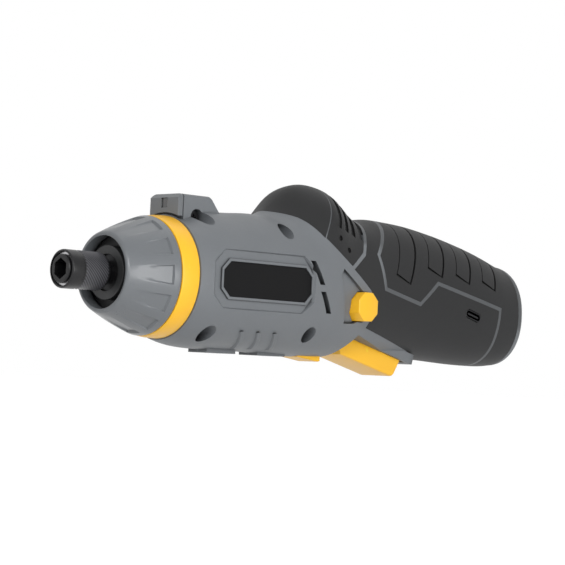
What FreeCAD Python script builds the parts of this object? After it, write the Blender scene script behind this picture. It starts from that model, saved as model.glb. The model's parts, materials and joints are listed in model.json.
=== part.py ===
import FreeCAD, Part
import math
import os

import Sketcher
from FreeCAD import Placement, Rotation, Vector

# Electric screwdriver, in millimetres. The origin is the middle of the bit socket's mouth,
# +X runs back along the spindle, +Z points up to the work lamp and -Y is the label's side.

SIZES = {
    # clearances
    "run_gap": 0.05,
    "slide_gap": 0.3,
    "seat_gap": 0.05,
    # bit holder
    "socket_flats": 6.45,
    "socket_depth": 13.0,
    "holder_radius": 5.0,
    "holder_length": 14.0,
    "holder_chamfer": 0.4,
    "shoulder_radius": 5.8,
    "shoulder_length": 1.5,
    "shaft_radius": 4.0,
    "magnet_radius": 2.5,
    "magnet_length": 3.0,
    "lock_ball_radius": 1.3,
    "lock_ball_at": 11.5,
    "clip_at": 1.6,
    "clip_width": 0.8,
    "clip_depth": 0.4,
    "sleeve_start": 0.5,
    "sleeve_radius": 6.75,
    "sleeve_length": 16.5,
    "sleeve_chamfer": 0.7,
    "sleeve_bore": 6.1,
    "sleeve_front_bore": 6.0,
    "land_at": 9.0,
    "sleeve_nose": 5.2,
    "knurl_relief": 0.2,
    "sleeve_spring_wire": 0.55,
    "sleeve_spring_turns": 4.5,
    # torque collar, trim ring and clutch
    "collar_start": 18.0,
    "collar_length": 18.7,
    "collar_front_radius": 14.3,
    "collar_rear_radius": 21.3,
    "collar_lip": 0.6,
    "collar_mouth_radius": 12.75,
    "collar_mouth_depth": 4.5,
    "flute_count": 12,
    "flute_depth": 0.9,
    "flute_front_width": 4.2,
    "flute_rear_width": 7.0,
    "flute_start": 3.2,
    "flute_end_land": 2.8,
    "key_width": 3.0,
    "key_radius": 12.3,
    "trim_radius": 21.9,
    "trim_width": 7.4,
    "trim_thickness": 2.0,
    "nose_tube_radius": 9.5,
    "nose_tube_start": 20.0,
    "spigot_radius": 17.4,
    "spigot_length": 4.2,
    "spigot_wall": 0.9,
    "bead_height": 0.4,
    "bead_width": 1.0,
    "nut_at": 24.0,
    "nut_width": 4.0,
    "nut_radius": 13.4,
    "washer_width": 1.0,
    "washer_radius": 16.2,
    "clutch_wire": 1.4,
    "clutch_mean_radius": 11.2,
    "clutch_turns": 3.5,
    "clutch_ball_count": 6,
    "clutch_ball_radius": 2.3,
    "clutch_ball_circle": 13.4,
    "bush_radius": 6.5,
    "bush_start": 21.0,
    "bush_length": 14.0,
    # gear train
    "case_radius": 17.2,
    "case_wall": 1.5,
    "case_front_wall": 4.0,
    "tooth_module": 0.6,
    "pressure_angle": 25.0,
    "addendum": 0.48,
    "dedendum": 0.63,
    "flank_gap": 0.06,
    "sun_teeth": 9,
    "planet_teeth": 18,
    "planet_count": 3,
    "gear_width": 6.0,
    "carrier_width": 2.8,
    "carrier_radius": 11.6,
    "planet_pin_radius": 1.5,
    "plate_gap": 0.4,
    "motor_plate_width": 2.6,
    # motor
    "motor_radius": 13.9,
    "motor_length": 38.0,
    "motor_wall": 1.0,
    "motor_boss_radius": 5.0,
    "motor_boss_length": 2.0,
    "end_cap_width": 3.6,
    "motor_shaft_radius": 1.15,
    "armature_radius": 10.2,
    "armature_length": 18.0,
    "armature_slots": 3,
    "armature_slot_width": 2.2,
    "armature_slot_depth": 4.0,
    "commutator_radius": 4.0,
    "commutator_length": 6.0,
    "magnet_thickness": 1.9,
    "magnet_half_gap": 4.0,
    "terminal_spread": 6.0,
    "terminal_height": 4.0,
    "terminal_length": 4.0,
    "lead_radius": 0.9,
    # housing sections, each by its reach behind the nose, middle, half height and half width
    "wall": 2.2,
    "skin": 1.8,
    "squareness": 2.2,
    "nose_mid": 0.0,
    "nose_tall": 22.3,
    "nose_wide": 22.3,
    "shoulder_reach": 5.4,
    "shoulder_mid": 0.0,
    "shoulder_tall": 23.7,
    "shoulder_wide": 23.2,
    "barrel_reach": 13.4,
    "barrel_mid": 0.0,
    "barrel_tall": 24.7,
    "barrel_wide": 23.8,
    "flank_reach": 35.4,
    "flank_mid": 0.4,
    "flank_tall": 25.2,
    "flank_wide": 23.8,
    "waist_reach": 55.4,
    "waist_mid": 0.8,
    "waist_tall": 26.3,
    "waist_wide": 23.5,
    "neck_reach": 75.4,
    "neck_mid": 1.3,
    "neck_tall": 26.9,
    "neck_wide": 22.6,
    "palm_reach": 95.4,
    "palm_mid": 2.2,
    "palm_tall": 26.5,
    "palm_wide": 21.2,
    "grip_reach": 115.4,
    "grip_mid": 2.3,
    "grip_tall": 26.1,
    "grip_wide": 20.4,
    "heel_reach": 135.4,
    "heel_mid": 0.8,
    "heel_tall": 25.1,
    "heel_wide": 20.0,
    "rear_reach": 155.4,
    "rear_mid": -1.7,
    "rear_tall": 23.6,
    "rear_wide": 19.4,
    "taper_reach": 169.4,
    "taper_mid": -3.7,
    "taper_tall": 21.8,
    "taper_wide": 18.4,
    "tail_reach": 177.4,
    "tail_mid": -4.5,
    "tail_tall": 20.4,
    "tail_wide": 17.6,
    "tail_cap_length": 4.4,
    "tail_cap_round": 3.6,
    "tail_spigot": 2.6,
    # hump on the back of the body
    "hump_at": 112.0,
    "hump_height": 19.0,
    "hump_long": 20.0,
    "hump_tall": 20.0,
    "hump_wide": 20.6,
    "hump_blend": 22.0,
    # work lamp
    "lamp_front": 45.0,
    "lamp_length": 24.0,
    "lamp_top": 29.8,
    "lamp_flat_end": 60.0,
    "lamp_brow": 1.5,
    "lamp_foot": 16.0,
    "lamp_half_width": 7.6,
    "lamp_round": 1.4,
    "lamp_cover_width": 2.2,
    "lamp_groove": 0.5,
    "lens_half_width": 1.7,
    "lens_low": 24.8,
    "lens_high": 28.3,
    "led_radius": 2.5,
    "led_length": 5.2,
    "led_height": 26.0,
    # label recess
    "label_front": 55.2,
    "label_rear": 98.5,
    "label_half_height": 6.2,
    "label_corner": 3.2,
    "label_mid": 0.2,
    "label_thickness": 0.4,
    "label_floor": 21.5,
    "label_ridge": 1.0,
    "label_ridge_height": 0.8,
    "panel_margin": 3.6,
    "panel_trim": 3.4,
    "panel_margin_high": 4.0,
    # vents
    "vent_width": 2.6,
    "vent_lean": 4.6,
    "vent_front_at": 97.2,
    "vent_front_top": 9.4,
    "vent_front_low": 0.9,
    "vent_rear_at": 102.4,
    "vent_rear_top": -1.6,
    "vent_rear_low": -9.4,
    # housing screws
    "screw_radius": 1.3,
    "screw_head_radius": 2.5,
    "screw_head_height": 1.8,
    "screw_length": 15.0,
    "screw_seat": 6.0,
    "well_radius": 2.9,
    "boss_radius": 4.2,
    "screw_front_at": 54.6,
    "screw_front_z": -19.4,
    "screw_top_at": 89.5,
    "screw_top_z": 19.5,
    "screw_low_at": 102.5,
    "screw_low_z": -17.6,
    "screw_lamp_at": 54.0,
    "screw_lamp_z": 21.9,
    "screw_lamp_seat": 4.0,
    # finger ribs and rest pads under the body
    "rib_count": 3,
    "rib_front": 68.0,
    "rib_pitch": 8.2,
    "rib_width": 1.6,
    "rib_lean": 5.0,
    "rib_height": 0.7,
    "rib_high": -18.0,
    "rib_low": -24.0,
    "pad_front_at": 71.0,
    "pad_rear_at": 96.0,
    "pad_length": 14.0,
    "pad_half_width": 5.0,
    "pad_proud": 1.1,
    # overmoulds, as corners of their outlines seen from the side
    "inlay": 1.5,
    "seam": 0.5,
    "hump_edge_front_x": 91.0,
    "hump_edge_front_z": 29.4,
    "hump_edge_mid_x": 98.0,
    "hump_edge_mid_z": 25.4,
    "hump_edge_low_x": 106.6,
    "hump_edge_low_z": 18.4,
    "hump_rear_x": 112.4,
    "hump_rear_z": 32.6,
    "thumb_low_x": 120.2,
    "thumb_low_z": 8.3,
    "thumb_mid_x": 130.6,
    "thumb_mid_z": 19.6,
    "thumb_bend_x": 127.8,
    "thumb_bend_z": 14.0,
    "thumb_top_x": 136.2,
    "thumb_top_z": 29.4,
    "inlay_top_x": 149.0,
    "inlay_top_z": 30.0,
    "inlay_bend_x": 136.0,
    "inlay_bend_z": 14.3,
    "inlay_knee_x": 139.2,
    "inlay_knee_z": 1.6,
    "inlay_dip_x": 160.0,
    "inlay_dip_z": -3.0,
    "inlay_peak_x": 169.8,
    "inlay_peak_z": 5.6,
    "inlay_tail_x": 209.0,
    "inlay_tail_z": -2.4,
    "inlay_low_x": 208.4,
    "inlay_low_z": -12.0,
    "panel_edge_x": 130.4,
    "panel_edge_z": 0.5,
    "panel_button_x": 133.0,
    "panel_button_top": -3.2,
    "panel_button_low": -9.8,
    "panel_foot_x": 131.6,
    "panel_foot_z": -13.6,
    "panel_frame_x": 167.4,
    "panel_frame_z": -22.0,
    # grooves of the rear grip and dimples of the thumb grip
    "band_count": 4,
    "band_front": 150.4,
    "band_pitch": 17.4,
    "band_width": 8.6,
    "band_rake": 22.0,
    "band_depth": 0.7,
    "band_groove": 0.75,
    "band_low": 5.6,
    "band_short_low": 9.4,
    "band_drop": 3.2,
    "thumb_slot_count": 4,
    "thumb_slot_front": 112.6,
    "thumb_slot_pitch": 4.9,
    "thumb_slot_width": 2.4,
    "thumb_slot_low": 23.6,
    "thumb_slot_drop": 2.5,
    "dimple_radius": 1.0,
    "dimple_front_x": 114.4,
    "dimple_front_z": 19.0,
    "dimple_rear_x": 119.0,
    "dimple_rear_z": 14.8,
    # trigger and its frame
    "frame_mid_x": 143.7,
    "frame_mid_z": -20.1,
    "frame_slope": 14.7,
    "frame_front": 14.6,
    "frame_rear": 22.4,
    "frame_drop": 12.0,
    "frame_front_lean": 5.0,
    "bar_front": 4.0,
    "bar_rear": 24.4,
    "bar_high": 3.9,
    "bar_half_width": 10.0,
    "trigger_half_width": 8.2,
    "trigger_catch": 1.0,
    "catch_rear": 12.0,
    "trigger_front": 14.0,
    "trigger_rear": 19.7,
    "trigger_depth": 7.3,
    "trigger_rear_lean": 1.8,
    "trigger_nip": 1.2,
    "trigger_travel": 4.5,
    "trigger_lip": 1.5,
    "plunger_radius": 2.2,
    "plunger_length": 3.2,
    "plunger_at": -1.5,
    "trigger_wire": 0.55,
    "trigger_mean_radius": 3.2,
    "trigger_turns": 2.5,
    # direction button
    "button_mid_x": 126.2,
    "button_mid_z": -5.9,
    "button_long": 10.2,
    "button_tall": 10.9,
    "button_corner": 3.0,
    "button_proud": 2.9,
    "button_cap": 7.0,
    "button_bar_long": 6.4,
    "button_bar_tall": 7.0,
    "scoop_depth": 1.3,
    "scoop_tip_x": 115.0,
    "scoop_tip_z": 7.6,
    "scoop_low_x": 118.0,
    "scoop_low_z": -12.6,
    # lamp button under the body
    "lamp_button_at": 109.6,
    "lamp_button_length": 11.8,
    "lamp_button_half_width": 5.0,
    "lamp_button_proud": 1.5,
    "lamp_button_lip": 0.9,
    "lamp_button_lip_width": 1.2,
    "lamp_button_inside": -21.6,
    "lamp_wire": 0.5,
    "lamp_mean_radius": 2.6,
    "lamp_turns": 3.5,
    "shelf_low": -14.0,
    "shelf_width": 1.4,
    "lamp_switch_depth": 2.4,
    # switch, cell and boards
    "switch_front": 133.4,
    "switch_length": 17.0,
    "switch_half_width": 8.0,
    "switch_low": -7.5,
    "switch_high": 6.0,
    "bulkhead_width": 1.4,
    "cell_radius": 9.2,
    "cell_length": 65.0,
    "cell_mid": -1.0,
    "contact_width": 1.2,
    "contact_radius": 6.0,
    "cell_rib_front": 171.0,
    "cell_rib_rear": 203.0,
    "rib_wall": 2.0,
    "board_width": 1.4,
    "board_low": -14.6,
    "board_half_width": 11.0,
    "usb_mid_x": 192.0,
    "usb_mid_z": -5.8,
    "usb_long": 9.0,
    "usb_tall": 3.2,
    "usb_depth": 7.2,
    "usb_set_back": 0.6,
    "usb_wall": 0.35,
    "usb_tongue": 0.7,
    "usb_tongue_share": 0.7,
    "usb_lip": 0.2,
    "usb_corner_share": 0.6,
    # chambers inside the housing and the ribs left between them
    "chamber_radius": 20.3,
    "neck_half_width": 12.0,
    "neck_high": 16.0,
    "cell_chamber_radius": 13.0,
    "gear_rib_at": 49.0,
    "gear_rib_rear_at": 59.0,
    "motor_rib_at": 78.0,
    "motor_rib_rear_at": 95.0,
}

FAR = 60.0
SIDES = {"left": -1, "right": 1}
STATIONS = ("nose", "shoulder", "barrel", "flank", "waist", "neck", "palm", "grip",
            "heel", "rear", "taper", "tail")
HALF_CORNERS = 10
SECTIONS = 18


class Size:
    """A number together with the sheet formula that gives it."""

    def __init__(self, value, text):
        self.value = float(value)
        self.text = text

    def __float__(self):
        return self.value

    def __add__(self, other):
        other = size(other)
        return Size(self.value + other.value, f"({self.text} + {other.text})")

    def __sub__(self, other):
        other = size(other)
        return Size(self.value - other.value, f"({self.text} - {other.text})")

    def __mul__(self, other):
        other = size(other)
        return Size(self.value * other.value, f"({self.text} * {other.text})")

    def __truediv__(self, other):
        other = size(other)
        return Size(self.value / other.value, f"({self.text} / {other.text})")

    def __radd__(self, other):
        return size(other) + self

    def __rsub__(self, other):
        return size(other) - self

    def __rmul__(self, other):
        return size(other) * self

    def __neg__(self):
        return size(0) - self


def size(value):
    """A plain number or a Size, as a Size."""
    return value if isinstance(value, Size) else Size(value, f"({value})")


doc = FreeCAD.newDocument("electric_screwdriver")
sheet = doc.addObject("Spreadsheet::Sheet", "sizes")
for row, (alias, number) in enumerate(SIZES.items(), start=1):
    sheet.set(f"A{row}", alias)
    sheet.set(f"B{row}", str(number))
    sheet.setAlias(f"B{row}", alias)
doc.recompute()


class Sheet:
    """The sheet's cells by name, each as a Size."""

    def __getattr__(self, alias):
        return Size(sheet.get(alias), f"sizes.{alias}")


s = Sheet()
nodes = []


def node(label, piece):
    """Give a finished piece its name and keep it for the export."""
    piece.Label = label
    nodes.append(piece)
    return piece


def bind(piece, name, value):
    """Set a property of a piece and tie it to the sheet."""
    piece.setExpression(name, size(value).text)


def move(piece, x, y, z):
    for axis, value in zip("xyz", (x, y, z)):
        bind(piece, f"Placement.Base.{axis}", value)


TURNS = {
    "x": Rotation(Vector(0, 1, 0), 90),
    "y": Rotation(Vector(1, 0, 0), -90),
    "z": Rotation(),
}


def rod(name, x, y, z, radius, length, axis="x"):
    """Cylinder that starts at a point and runs along an axis."""
    piece = doc.addObject("Part::Cylinder", name)
    piece.Placement = Placement(Vector(), TURNS[axis])
    bind(piece, "Radius", radius)
    bind(piece, "Height", length)
    move(piece, x, y, z)
    return piece


def block(name, x, y, z):
    """Box between two places on each axis."""
    piece = doc.addObject("Part::Box", name)
    for side, (low, high) in zip(("Length", "Width", "Height"), (x, y, z)):
        bind(piece, side, size(high) - low)
    move(piece, x[0], y[0], z[0])
    return piece


def ball(name, x, y, z, radius):
    piece = doc.addObject("Part::Sphere", name)
    bind(piece, "Radius", radius)
    move(piece, x, y, z)
    return piece


def join(name, *pieces):
    piece = doc.addObject("Part::MultiFuse", name)
    piece.Shapes = list(pieces)
    return piece


def cut(name, base, *tools):
    piece = doc.addObject("Part::Cut", name)
    piece.Base = base
    piece.Tool = tools[0] if len(tools) == 1 else join(name + "_tools", *tools)
    return piece


def shared(name, first, second):
    """What two pieces have in common."""
    piece = doc.addObject("Part::Common", name)
    piece.Base = first
    piece.Tool = second
    return piece


def solid(name, shape):
    """Piece whose shape is worked out here from the sheet's values."""
    piece = doc.addObject("Part::Feature", name)
    piece.Shape = shape
    return piece


def group(name, *pieces):
    """Separate like solids kept together."""
    piece = doc.addObject("Part::Compound", name)
    piece.Links = list(pieces)
    return piece


def turned(name, outline):
    """Body turned about the X axis from corners given as place along X and radius."""
    body = doc.addObject("PartDesign::Body", name)
    sketch = body.newObject("Sketcher::SketchObject", name + "_outline")
    plane = next(item for item in body.Origin.OriginFeatures if item.Role == "XZ_Plane")
    sketch.AttachmentSupport = (plane, [""])
    sketch.MapMode = "FlatFace"
    corners = [(size(x), size(radius)) for x, radius in outline]
    count = len(corners)
    places = [Vector(x.value, radius.value, 0) for x, radius in corners]
    for i in range(count):
        sketch.addGeometry(Part.LineSegment(places[i], places[(i + 1) % count]), False)
    for i in range(count):
        sketch.addConstraint(Sketcher.Constraint("Coincident", i, 2, (i + 1) % count, 1))
    for i, corner in enumerate(corners):
        for kind, value in zip(("DistanceX", "DistanceY"), corner):
            rule = sketch.addConstraint(Sketcher.Constraint(kind, -1, 1, i, 1, value.value))
            bind(sketch, f"Constraints[{rule}]", value)
    turn = body.newObject("PartDesign::Revolution", name + "_turn")
    turn.Profile = sketch
    turn.ReferenceAxis = (sketch, ["H_Axis"])
    turn.Angle = 360
    return body


def tube(name, start, end, inner, outer):
    return turned(name, [(start, inner), (start, outer), (end, outer), (end, inner)])


def side_prism(name, corners, low=-FAR, high=FAR):
    """Straight-sided piece from an outline seen from the side, between two places on Y."""
    places = [Vector(float(x), float(low), float(z)) for x, z in corners]
    face = Part.Face(Part.makePolygon(places + places[:1]))
    return solid(name, face.extrude(Vector(0, float(high) - float(low), 0)))


def spread(path, distance):
    """Polyline moved sideways by a distance, to its left as it is walked."""
    moved = []
    normals = []
    for (x0, z0), (x1, z1) in zip(path, path[1:]):
        length = math.hypot(x1 - x0, z1 - z0)
        normals.append(((z0 - z1) / length, (x1 - x0) / length))
    for i, (x, z) in enumerate(path):
        before = normals[max(i - 1, 0)]
        after = normals[min(i, len(normals) - 1)]
        scale = distance / (1 + before[0] * after[0] + before[1] * after[1])
        moved.append((x + (before[0] + after[0]) * scale, z + (before[1] + after[1]) * scale))
    return moved


def spot(prefix):
    """A corner kept in the sheet as its x and z."""
    return (float(getattr(s, prefix + "_x")), float(getattr(s, prefix + "_z")))


def coil(start, length, mean, wire, turns):
    """Helical spring along +Z from its start, as a shape."""
    pitch = (length - wire) / turns
    helix = Part.Wire(Part.makeHelix(pitch, pitch * turns, mean))
    section = Part.Wire(Part.makeCircle(wire / 2, Vector(mean, 0, 0), Vector(0, 1, 0)))
    shape = helix.makePipeShell([section], True, True)
    shape.translate(Vector(0, 0, start + wire / 2))
    return shape


# Places along the spindle that several pieces share

collar_end = s.collar_start + s.collar_length
trim_start = collar_end + s.slide_gap
trim_end = trim_start + s.trim_width
nose_at = trim_end + s.seat_gap * 2
case_wall_start = trim_start + s.seat_gap * 4
case_wall_end = case_wall_start + s.case_front_wall
clutch_ring_start = case_wall_end + s.plate_gap
front_carrier_start = clutch_ring_start + s.plate_gap
front_carrier_end = front_carrier_start + s.carrier_width
front_gear_start = front_carrier_end + s.plate_gap
front_gear_end = front_gear_start + s.gear_width
rear_carrier_start = front_gear_end + s.plate_gap
rear_carrier_end = rear_carrier_start + s.carrier_width
rear_gear_start = rear_carrier_end + s.plate_gap
rear_gear_end = rear_gear_start + s.gear_width
motor_plate_start = rear_gear_end + s.plate_gap
motor_start = motor_plate_start + s.motor_plate_width
motor_end = motor_start + s.motor_length
end_cap_end = motor_end + s.end_cap_width
shoulder_end = s.holder_length + s.shoulder_length
sun_pitch = s.tooth_module * s.sun_teeth / 2
planet_pitch = s.tooth_module * s.planet_teeth / 2
planet_circle = sun_pitch + planet_pitch
ring_pitch = planet_circle + planet_pitch
ring_teeth = int(float(s.sun_teeth + s.planet_teeth * 2))
ring_outer = s.case_radius - s.case_wall - s.seat_gap
bulkhead_start = s.switch_front + s.switch_length
contact_start = bulkhead_start + s.bulkhead_width
cell_start = contact_start + s.contact_width
cell_end = cell_start + s.cell_length
tail_at = nose_at + s.tail_reach


def station_at(name):
    return nose_at if name == "nose" else nose_at + getattr(s, name + "_reach")


# Bit holder


def make_spindle():
    groove_end = s.clip_at + s.clip_width + s.seat_gap
    groove_radius = s.holder_radius - s.clip_depth
    blank = turned("spindle_blank", [
        (0, 0), (0, s.holder_radius - s.holder_chamfer), (s.holder_chamfer, s.holder_radius),
        (s.clip_at - s.seat_gap, s.holder_radius), (s.clip_at - s.seat_gap, groove_radius),
        (groove_end, groove_radius), (groove_end, s.holder_radius),
        (s.holder_length, s.holder_radius), (s.holder_length, s.shoulder_radius),
        (shoulder_end, s.shoulder_radius), (shoulder_end, s.shaft_radius),
        (front_carrier_end, s.shaft_radius), (front_carrier_end, 0),
    ])
    socket = doc.addObject("Part::Prism", "bit_socket")
    socket.Polygon = 6
    socket.Placement = Placement(Vector(), Rotation(Vector(0, 1, 0), 90))
    bind(socket, "Circumradius", s.socket_flats / math.sqrt(3))
    bind(socket, "Height", s.socket_depth + 1)
    move(socket, -1, 0, 0)
    seat = rod("magnet_seat", s.socket_depth - 1, 0, 0, s.magnet_radius + s.seat_gap,
               s.magnet_length + 1 + s.seat_gap)
    hole = rod("lock_ball_hole", s.lock_ball_at, -s.holder_radius - 1, 0,
               s.lock_ball_radius + s.run_gap, s.holder_radius * 2 + 2, "y")
    node("spindle", cut("spindle", blank, socket, seat, hole))


def make_chuck():
    end = s.sleeve_start + s.sleeve_length
    nose_end = s.sleeve_start + s.sleeve_nose
    land_end = s.holder_length - s.slide_gap
    land_radius = s.holder_radius + s.run_gap
    grip_radius = s.sleeve_radius - s.knurl_relief
    node("chuck_sleeve", turned("chuck_sleeve", [
        (s.sleeve_start, s.sleeve_front_bore), (s.sleeve_start, s.sleeve_radius - s.sleeve_chamfer / 2),
        (s.sleeve_start + s.sleeve_chamfer, s.sleeve_radius), (nose_end, s.sleeve_radius),
        (nose_end + s.knurl_relief, grip_radius), (end - s.sleeve_chamfer, grip_radius),
        (end, grip_radius - s.sleeve_chamfer / 3), (end, s.sleeve_bore),
        (land_end, s.sleeve_bore), (land_end, land_radius), (s.land_at, land_radius),
        (s.land_at, s.sleeve_front_bore),
    ]))
    node("chuck_clip", tube("chuck_clip", s.clip_at, s.clip_at + s.clip_width,
                            s.holder_radius - s.clip_depth + s.seat_gap,
                            s.sleeve_front_bore - s.run_gap * 3))
    spring_start = float(s.clip_at + s.clip_width + s.seat_gap * 2)
    spring_length = float(s.land_at - s.seat_gap) - spring_start
    spring = coil(spring_start, spring_length,
                  float(s.holder_radius + s.sleeve_front_bore) / 2,
                  float(s.sleeve_spring_wire), float(s.sleeve_spring_turns))
    spring.rotate(Vector(), Vector(0, 1, 0), 90)
    node("chuck_spring", solid("chuck_spring", spring))
    reach = s.holder_radius - s.lock_ball_radius
    node("chuck_balls", group("chuck_balls",
                              ball("lock_ball_left", s.lock_ball_at, -reach, 0, s.lock_ball_radius),
                              ball("lock_ball_right", s.lock_ball_at, reach, 0, s.lock_ball_radius)))
    node("bit_magnet", rod("bit_magnet", s.socket_depth, 0, 0, s.magnet_radius, s.magnet_length))


# Torque collar and clutch


def make_collar():
    cavity_start = s.collar_start + s.collar_mouth_depth
    bore = s.spigot_radius + s.run_gap
    groove_start = trim_start - s.spigot_length - s.slide_gap
    groove_end = groove_start + s.bead_width + s.slide_gap * 2
    groove_radius = s.spigot_radius + s.bead_height + s.run_gap
    cavity_front = s.collar_mouth_radius + s.slide_gap * 2
    cavity_rear = groove_radius - s.bead_height * 2
    blank = turned("collar_blank", [
        (s.collar_start, s.collar_mouth_radius), (s.collar_start, s.collar_front_radius - s.collar_lip),
        (s.collar_start + s.collar_lip, s.collar_front_radius),
        (collar_end - s.collar_lip, s.collar_rear_radius),
        (collar_end, s.collar_rear_radius - s.collar_lip / 2), (collar_end, bore),
        (groove_end, bore), (groove_end, groove_radius), (groove_start, groove_radius),
        (groove_start, cavity_rear), (cavity_start, cavity_front), (cavity_start, s.collar_mouth_radius),
    ])
    key = key_shape(float(cavity_start) - 0.5, float(groove_start), float(s.key_radius),
                    float(s.collar_front_radius), float(s.key_width) / 2)
    keys = [solid(f"collar_key_{i}", turned_copy(key, i * 360 / 3)) for i in range(3)]
    keyed = join("collar_keyed", blank, *keys)
    count = int(float(s.flute_count))
    flute = flute_shape()
    flutes = [solid(f"flute_{i}", turned_copy(flute, i * 360 / count)) for i in range(count)]
    node("torque_collar", cut("torque_collar", keyed, *flutes))


def key_shape(start, end, inner, outer, half_width):
    return Part.makeBox(end - start, half_width * 2, outer - inner, Vector(start, -half_width, inner))


def turned_copy(shape, angle):
    copy = shape.copy()
    copy.rotate(Vector(), Vector(1, 0, 0), angle)
    return copy


def flute_shape():
    """Wedge that cuts one tapered flute, deepest and widest at its squared rear end."""
    start = float(s.collar_start + s.flute_start)
    end = float(collar_end - s.flute_end_land)
    rise = float(s.collar_rear_radius - s.collar_front_radius) / float(s.collar_length)
    radius = [float(s.collar_front_radius) + rise * (x - float(s.collar_start)) for x in (start, end)]
    half = [float(s.flute_front_width) / 2, float(s.flute_rear_width) / 2]
    floor = [radius[0], radius[1] - float(s.flute_depth)]
    sections = []
    for x, floor_radius, width in zip((start, end), floor, half):
        high = floor_radius + float(s.wall)
        corners = [Vector(x, -width, floor_radius), Vector(x, width, floor_radius),
                   Vector(x, width, high), Vector(x, -width, high)]
        sections.append(Part.makePolygon(corners + corners[:1]))
    return Part.makeLoft(sections, True, True)


def make_trim_ring():
    inner = s.trim_radius - s.trim_thickness
    crown = s.trim_thickness / 5
    node("collar_ring", turned("collar_ring", [
        (trim_start, inner), (trim_start, s.trim_radius - crown), (trim_start + crown, s.trim_radius),
        (trim_end - crown, s.trim_radius), (trim_end, s.trim_radius - crown), (trim_end, inner),
    ]))


def make_clutch():
    nut_end = s.nut_at + s.nut_width
    nut = tube("nut_blank", s.nut_at, nut_end, s.nose_tube_radius + s.run_gap, s.nut_radius)
    gap = float(s.slide_gap) / 2
    notch = key_shape(float(s.nut_at) - 1, float(nut_end) + 1, float(s.key_radius) - gap,
                      float(s.nut_radius) + 1, float(s.key_width) / 2 + gap)
    notches = [solid(f"nut_notch_{i}", turned_copy(notch, i * 360 / 3)) for i in range(3)]
    node("clutch_nut", cut("clutch_nut", nut, *notches))
    ball_mid = case_wall_start + s.case_front_wall / 2
    washer_end = ball_mid - s.clutch_ball_radius
    washer_start = washer_end - s.washer_width
    node("clutch_washer", tube("clutch_washer", washer_start, washer_end,
                               s.nose_tube_radius + s.run_gap, s.washer_radius))
    start = float(nut_end + s.seat_gap)
    spring = coil(start, float(washer_start - s.seat_gap) - start,
                  float(s.clutch_mean_radius), float(s.clutch_wire), float(s.clutch_turns))
    spring.rotate(Vector(), Vector(0, 1, 0), 90)
    node("clutch_spring", solid("clutch_spring", spring))
    count = int(float(s.clutch_ball_count))
    balls = [ball(f"clutch_ball_{i}", ball_mid, s.clutch_ball_circle * math.cos(2 * math.pi * i / count),
                  s.clutch_ball_circle * math.sin(2 * math.pi * i / count), s.clutch_ball_radius)
             for i in range(count)]
    node("clutch_balls", group("clutch_balls", *balls))
    return ball_mid


# Gear case and gears


def make_gear_case():
    inner = s.case_radius - s.case_wall
    flange = s.trim_radius - s.trim_thickness - s.seat_gap
    flange_end = trim_end - s.seat_gap
    spigot_start = trim_start - s.spigot_length
    bead_end = spigot_start + s.bead_width
    bead_radius = s.spigot_radius + s.bead_height
    spigot_inner = s.spigot_radius - s.spigot_wall
    bush_bore = s.bush_radius + s.seat_gap
    blank = turned("case_blank", [
        (s.nose_tube_start, bush_bore), (s.nose_tube_start, s.nose_tube_radius),
        (case_wall_start, s.nose_tube_radius), (case_wall_start, spigot_inner),
        (spigot_start, spigot_inner), (spigot_start, bead_radius), (bead_end, bead_radius),
        (bead_end, s.spigot_radius), (case_wall_start, s.spigot_radius), (case_wall_start, flange),
        (flange_end, flange), (flange_end, s.case_radius), (motor_plate_start, s.case_radius),
        (motor_plate_start, inner), (case_wall_end, inner), (case_wall_end, bush_bore),
    ])
    count = int(float(s.clutch_ball_count))
    holes = [rod(f"clutch_hole_{i}", case_wall_start - 1,
                 s.clutch_ball_circle * math.cos(2 * math.pi * i / count),
                 s.clutch_ball_circle * math.sin(2 * math.pi * i / count),
                 s.clutch_ball_radius + s.run_gap, s.case_front_wall + 2) for i in range(count)]
    node("gear_case", cut("gear_case", blank, *holes))
    node("spindle_bush", tube("spindle_bush", s.bush_start, s.bush_start + s.bush_length,
                              s.shaft_radius + s.run_gap, s.bush_radius))


def involute(angle):
    return math.tan(angle) - angle


def gear_outline(teeth, tip, root, thinning, turn=0.0):
    """Corners of a gear's section, with each flank thinned by a distance."""
    pressure = math.radians(float(s.pressure_angle))
    pitch = float(s.tooth_module) * teeth / 2
    base = pitch * math.cos(pressure)
    steps = 5
    start = max(root, base)
    radii = [root] * (root < base) + [start + (tip - start) * i / steps for i in range(steps + 1)]
    half = math.pi / (2 * teeth) - thinning / pitch + involute(pressure)
    flank = [(radius, half - involute(math.acos(min(1.0, base / radius)))) for radius in radii]
    corners = []
    for tooth in range(teeth):
        middle = turn + 2 * math.pi * tooth / teeth
        corners += [(radius, middle - angle) for radius, angle in flank]
        corners += [(radius, middle + angle) for radius, angle in reversed(flank)]
    return [(radius * math.cos(angle), radius * math.sin(angle)) for radius, angle in corners]


def gear_blank(corners, start, width, offset=0.0):
    places = [Vector(start, y + offset, z) for y, z in corners]
    face = Part.Face(Part.makePolygon(places + places[:1]))
    return face.extrude(Vector(width, 0, 0))


def outer_gear(teeth, start, width, bore, offset=0.0, turn=0.0):
    """Gear with outside teeth and a round bore."""
    pitch = float(s.tooth_module) * teeth / 2
    corners = gear_outline(teeth, pitch + float(s.addendum), pitch - float(s.dedendum),
                           float(s.flank_gap), turn)
    hole = Part.makeCylinder(bore, width + 2, Vector(start - 1, offset, 0), Vector(1, 0, 0))
    return gear_blank(corners, start, width, offset).cut(hole)


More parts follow.
